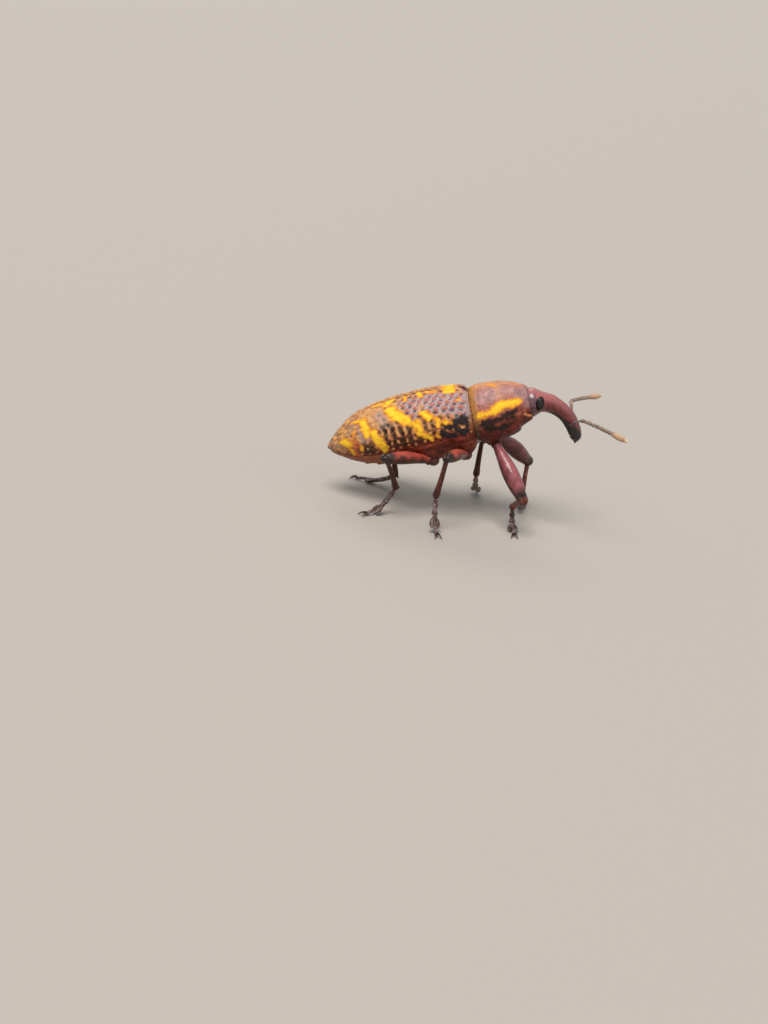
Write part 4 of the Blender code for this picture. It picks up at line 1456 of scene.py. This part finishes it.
def map_hairs(made, map_places):
    """Gives every hair a tiny patch of its own in the map, at its root's place on the skin."""
    level = np.array((0, 0, 0, 1, 1, 1, 2, 2, 2, 3)) / 3
    column = np.array((0, 1, 2, 0, 1, 2, 0, 1, 2, 1)) / 2
    shift = 0.003 * np.stack((column - 0.5, level - 0.5), axis=1)
    places = (map_places[:, None] + shift[None]).reshape(-1, 2)
    corner = np.zeros(len(made.data.loops), int)
    made.data.loops.foreach_get("vertex_index", corner)
    layer = made.data.uv_layers.new(name="OFBake")
    layer.data.foreach_set("uv", places[corner].reshape(-1).astype(np.float32))


def hairs(name, roots, lean, lengths, thickness, droop, tint, finish, slot, map_places):
    """Spines: root + lean·length·u + droop·length·u², thinner towards the tip, all worked out at once.

    A hair has ten points: three rings of three, and the tip."""
    count = len(roots)
    u = np.array((0.0, 0.4, 0.8, 1.0))[None, :, None]
    reach = lengths[:, None, None]
    path = roots[:, None] + lean[:, None] * reach * u + droop[:, None] * reach * u**2
    side = unit(np.cross(lean, (0.3, 0.2, 0.93)))
    other = np.cross(lean, side)
    turn = turns(3)[..., None]
    ring = side[:, None] * np.cos(turn) + other[:, None] * np.sin(turn)
    size = thickness * np.array((1.0, 0.8, 0.45))[None, :, None, None]
    rings = (path[:, :3, None] + ring[:, None] * size).reshape(count, 9, 3)
    points = np.concatenate((rings, path[:, 3:]), axis=1)
    k = np.arange(3)
    n = (k + 1) % 3
    sides = np.concatenate([np.stack((i + k, i + n, i + 3 + n, i + 3 + k), 1) for i in (0, 3)])
    ends = np.concatenate((np.stack((6 + k, 6 + n, 9 + 0 * k), 1), [[2, 1, 0]]))
    start = 10 * np.arange(count)[:, None, None]
    groups = [(start + sides).reshape(-1, 4), (start + ends).reshape(-1, 3)]
    made = piece(name, [(points.reshape(-1, 3), groups, {"tint": np.repeat(tint, 10)})], finish, slot)
    map_hairs(made, map_places)


def hair_finish(name, dark, light):
    """Soft hair between two colours, which differ from hair to hair."""
    look = Look(name, 0.6, sheen=0.3)
    look.set("Base Color", look.mark("tint").mix(dark, light))
    return look.material


orange_hair = hair_finish("orange_hair", (0.10, 0.026, 0.008), (0.80, 0.36, 0.055))
pale_hair = hair_finish("pale_hair", (0.18, 0.11, 0.07), (0.46, 0.34, 0.23))
draw = np.random.default_rng(7)


def around_trunk(rows, s, angle, sink):
    """Place on the trunk and the way out from it."""
    y, t = section(rows, s, angle)
    out = unit(np.stack((0 * angle + 0 * s, np.sin(angle), np.cos(angle)), axis=-1))
    return to_world(s, y * sink, t * sink), out @ np.stack((FORWARD, LEFT, UPWARD))


FRINGE_HAIRS = 3400
angle = np.radians(draw.uniform(5, 128, FRINGE_HAIRS)) * np.where(np.arange(FRINGE_HAIRS) % 2, 1, -1)
s = 0.52 + 0.55 * draw.random(FRINGE_HAIRS) ** 1.6
roots, out = around_trunk(FORE_BODY, s, angle, 0.975)
lean = -FORWARD + out * draw.uniform(0.0, 0.35, (FRINGE_HAIRS, 1))
lean = unit(lean + 0.30 * draw.normal(size=(FRINGE_HAIRS, 3)))
length = draw.uniform(0.16, 0.48, FRINGE_HAIRS)
places = np.stack((0.5 + angle / 5.2, 0.1 + s), axis=1)
tint = np.clip(0.85 - 0.9 * ease(np.abs(angle), 1.2, 2.1) + draw.uniform(-0.45, 0.3, FRINGE_HAIRS), 0, 1)
hairs("base_fringe", roots, lean, length, 0.014, -0.45 * out, tint, orange_hair, "fore_body", places)

# %% Down on feelers and legs


def limb_down(name, limbs, spread, length, thickness, finish, slot):
    """Short hairs that lean along limbs, each of which is a path, a radius and a number of hairs."""
    roots, leans, flat = [], [], []
    for path, radius, count in limbs:
        turn = draw.uniform(0, 2 * np.pi, (count, 1))
        share = draw.uniform(0.03, 0.97, count)
        even = np.linspace(0, 1, len(path))
        at = np.stack([np.interp(share, even, path[:, k]) for k in range(3)], axis=1)
        along = unit(path[-1] - path[0])
        side = unit(np.cross(along, (0.2, 0.1, 1.0)))
        out = side * np.cos(turn) + np.cross(along, side) * np.sin(turn)
        roots.append(at + out * radius * 0.85)
        leans.append(unit(out * spread + along + 0.2 * draw.normal(size=(count, 3))))
        column = 0.03 + 0.94 * (len(flat) + turn[:, 0] / 6.3) / len(limbs)
        flat.append(np.stack((column, 0.05 + 0.9 * share), axis=1))
    roots, leans, flat = (np.concatenate(part) for part in (roots, leans, flat))
    lengths = length * draw.uniform(0.6, 1.2, len(roots))
    tint = draw.uniform(0, 1, len(roots))
    hairs(name, roots, leans, lengths, thickness, 0 * leans, tint, finish, slot, flat)


for side in HANDS:
    elbow, club, tip = (to_world(*np.array(joint)) for joint in FEELERS[side])
    limbs = [(np.stack((elbow, club)), 0.17, 420), (np.stack((club, club + (tip - club) * 0.7)), 0.27, 300)]
    limb_down("feeler_down_" + side, limbs, 0.45, 0.13, 0.007, pale_hair, "feeler")
limbs = []
u = np.linspace(0.12, 1, 20)[:, None]
for pair, side in ALL_LEGS:
    _, knee, ankle, thigh, shin = leg_points(pair, side)
    inward = square_to(-thigh, shin)
    limbs.append((knee + (ankle - knee) * u + inward * 0.10 * arch(u), 0.26, 160))
limb_down("shin_down", limbs, 0.55, 0.15, 0.008, pale_hair, "shin")

# %% [markdown]
# ## Floor and light
# A plain pale floor reaches past the top of the picture, and the backdrop takes up
# its brightness. One broad lamp high above the camera is the soft sky light that
# draws the long gleams on thighs and snout, a weaker one fills from the right, and
# one behind parts the back from the floor.

# %% Floor, lamps and air
FLOOR_REACH = 6
floor_mesh = bpy.data.meshes.new("floor")
corners = [(x * FLOOR_REACH, y * FLOOR_REACH, 0) for x, y in ((-1, -1), (1, -1), (1, 1), (-1, 1))]
floor_mesh.from_pydata(corners, [], [(0, 1, 2, 3)])
floor = bpy.data.objects.new("floor", floor_mesh)
bpy.context.scene.collection.objects.link(floor)
pale_floor = Look("pale_floor", 0.75)
pale_floor.set("Base Color", (0.33, 0.30, 0.27))
floor_mesh.materials.append(pale_floor.material)


def lamp(name, azimuth, elevation, spread, strength, colour):
    """Soft far lamp: light comes from a direction, spread over a disc of that many degrees."""
    light = bpy.data.lights.new(name, "SUN")
    light.angle = math.radians(spread)
    light.energy = strength
    light.color = colour
    made = bpy.data.objects.new(name, light)
    bpy.context.scene.collection.objects.link(made)
    back = heading(azimuth, elevation)
    side = unit(np.cross(SKY, back))
    axes = np.column_stack((side, np.cross(back, side), back, back))
    made.matrix_world = Matrix(np.vstack((axes, (0, 0, 0, 1))).tolist())


lamp("sky_lamp", -115, 64, 32, 3.8, (1.0, 0.97, 0.93))
lamp("fill_lamp", -30, 25, 50, 0.30, (1.0, 0.96, 0.90))
lamp("back_lamp", 105, 45, 30, 0.5, (1.0, 0.96, 0.90))


def air():
    """Backdrop: as bright as the floor near the horizon, and dimmer overhead."""
    made = bpy.data.worlds.new("air")
    made.use_nodes = True
    tree = made.node_tree
    place = tree.nodes.new("ShaderNodeTexCoord")
    split = tree.nodes.new("ShaderNodeSeparateXYZ")
    tree.links.new(place.outputs["Generated"], split.inputs[0])
    height = Value(split.outputs["Z"]).between(0.02, 0.25)
    wire(tree.nodes["Background"].inputs["Color"], height.mix((0.585, 0.54, 0.475), (0.49, 0.51, 0.53)))
    return made


bpy.context.scene.world = air()
bpy.context.scene.view_settings.view_transform = "Standard"
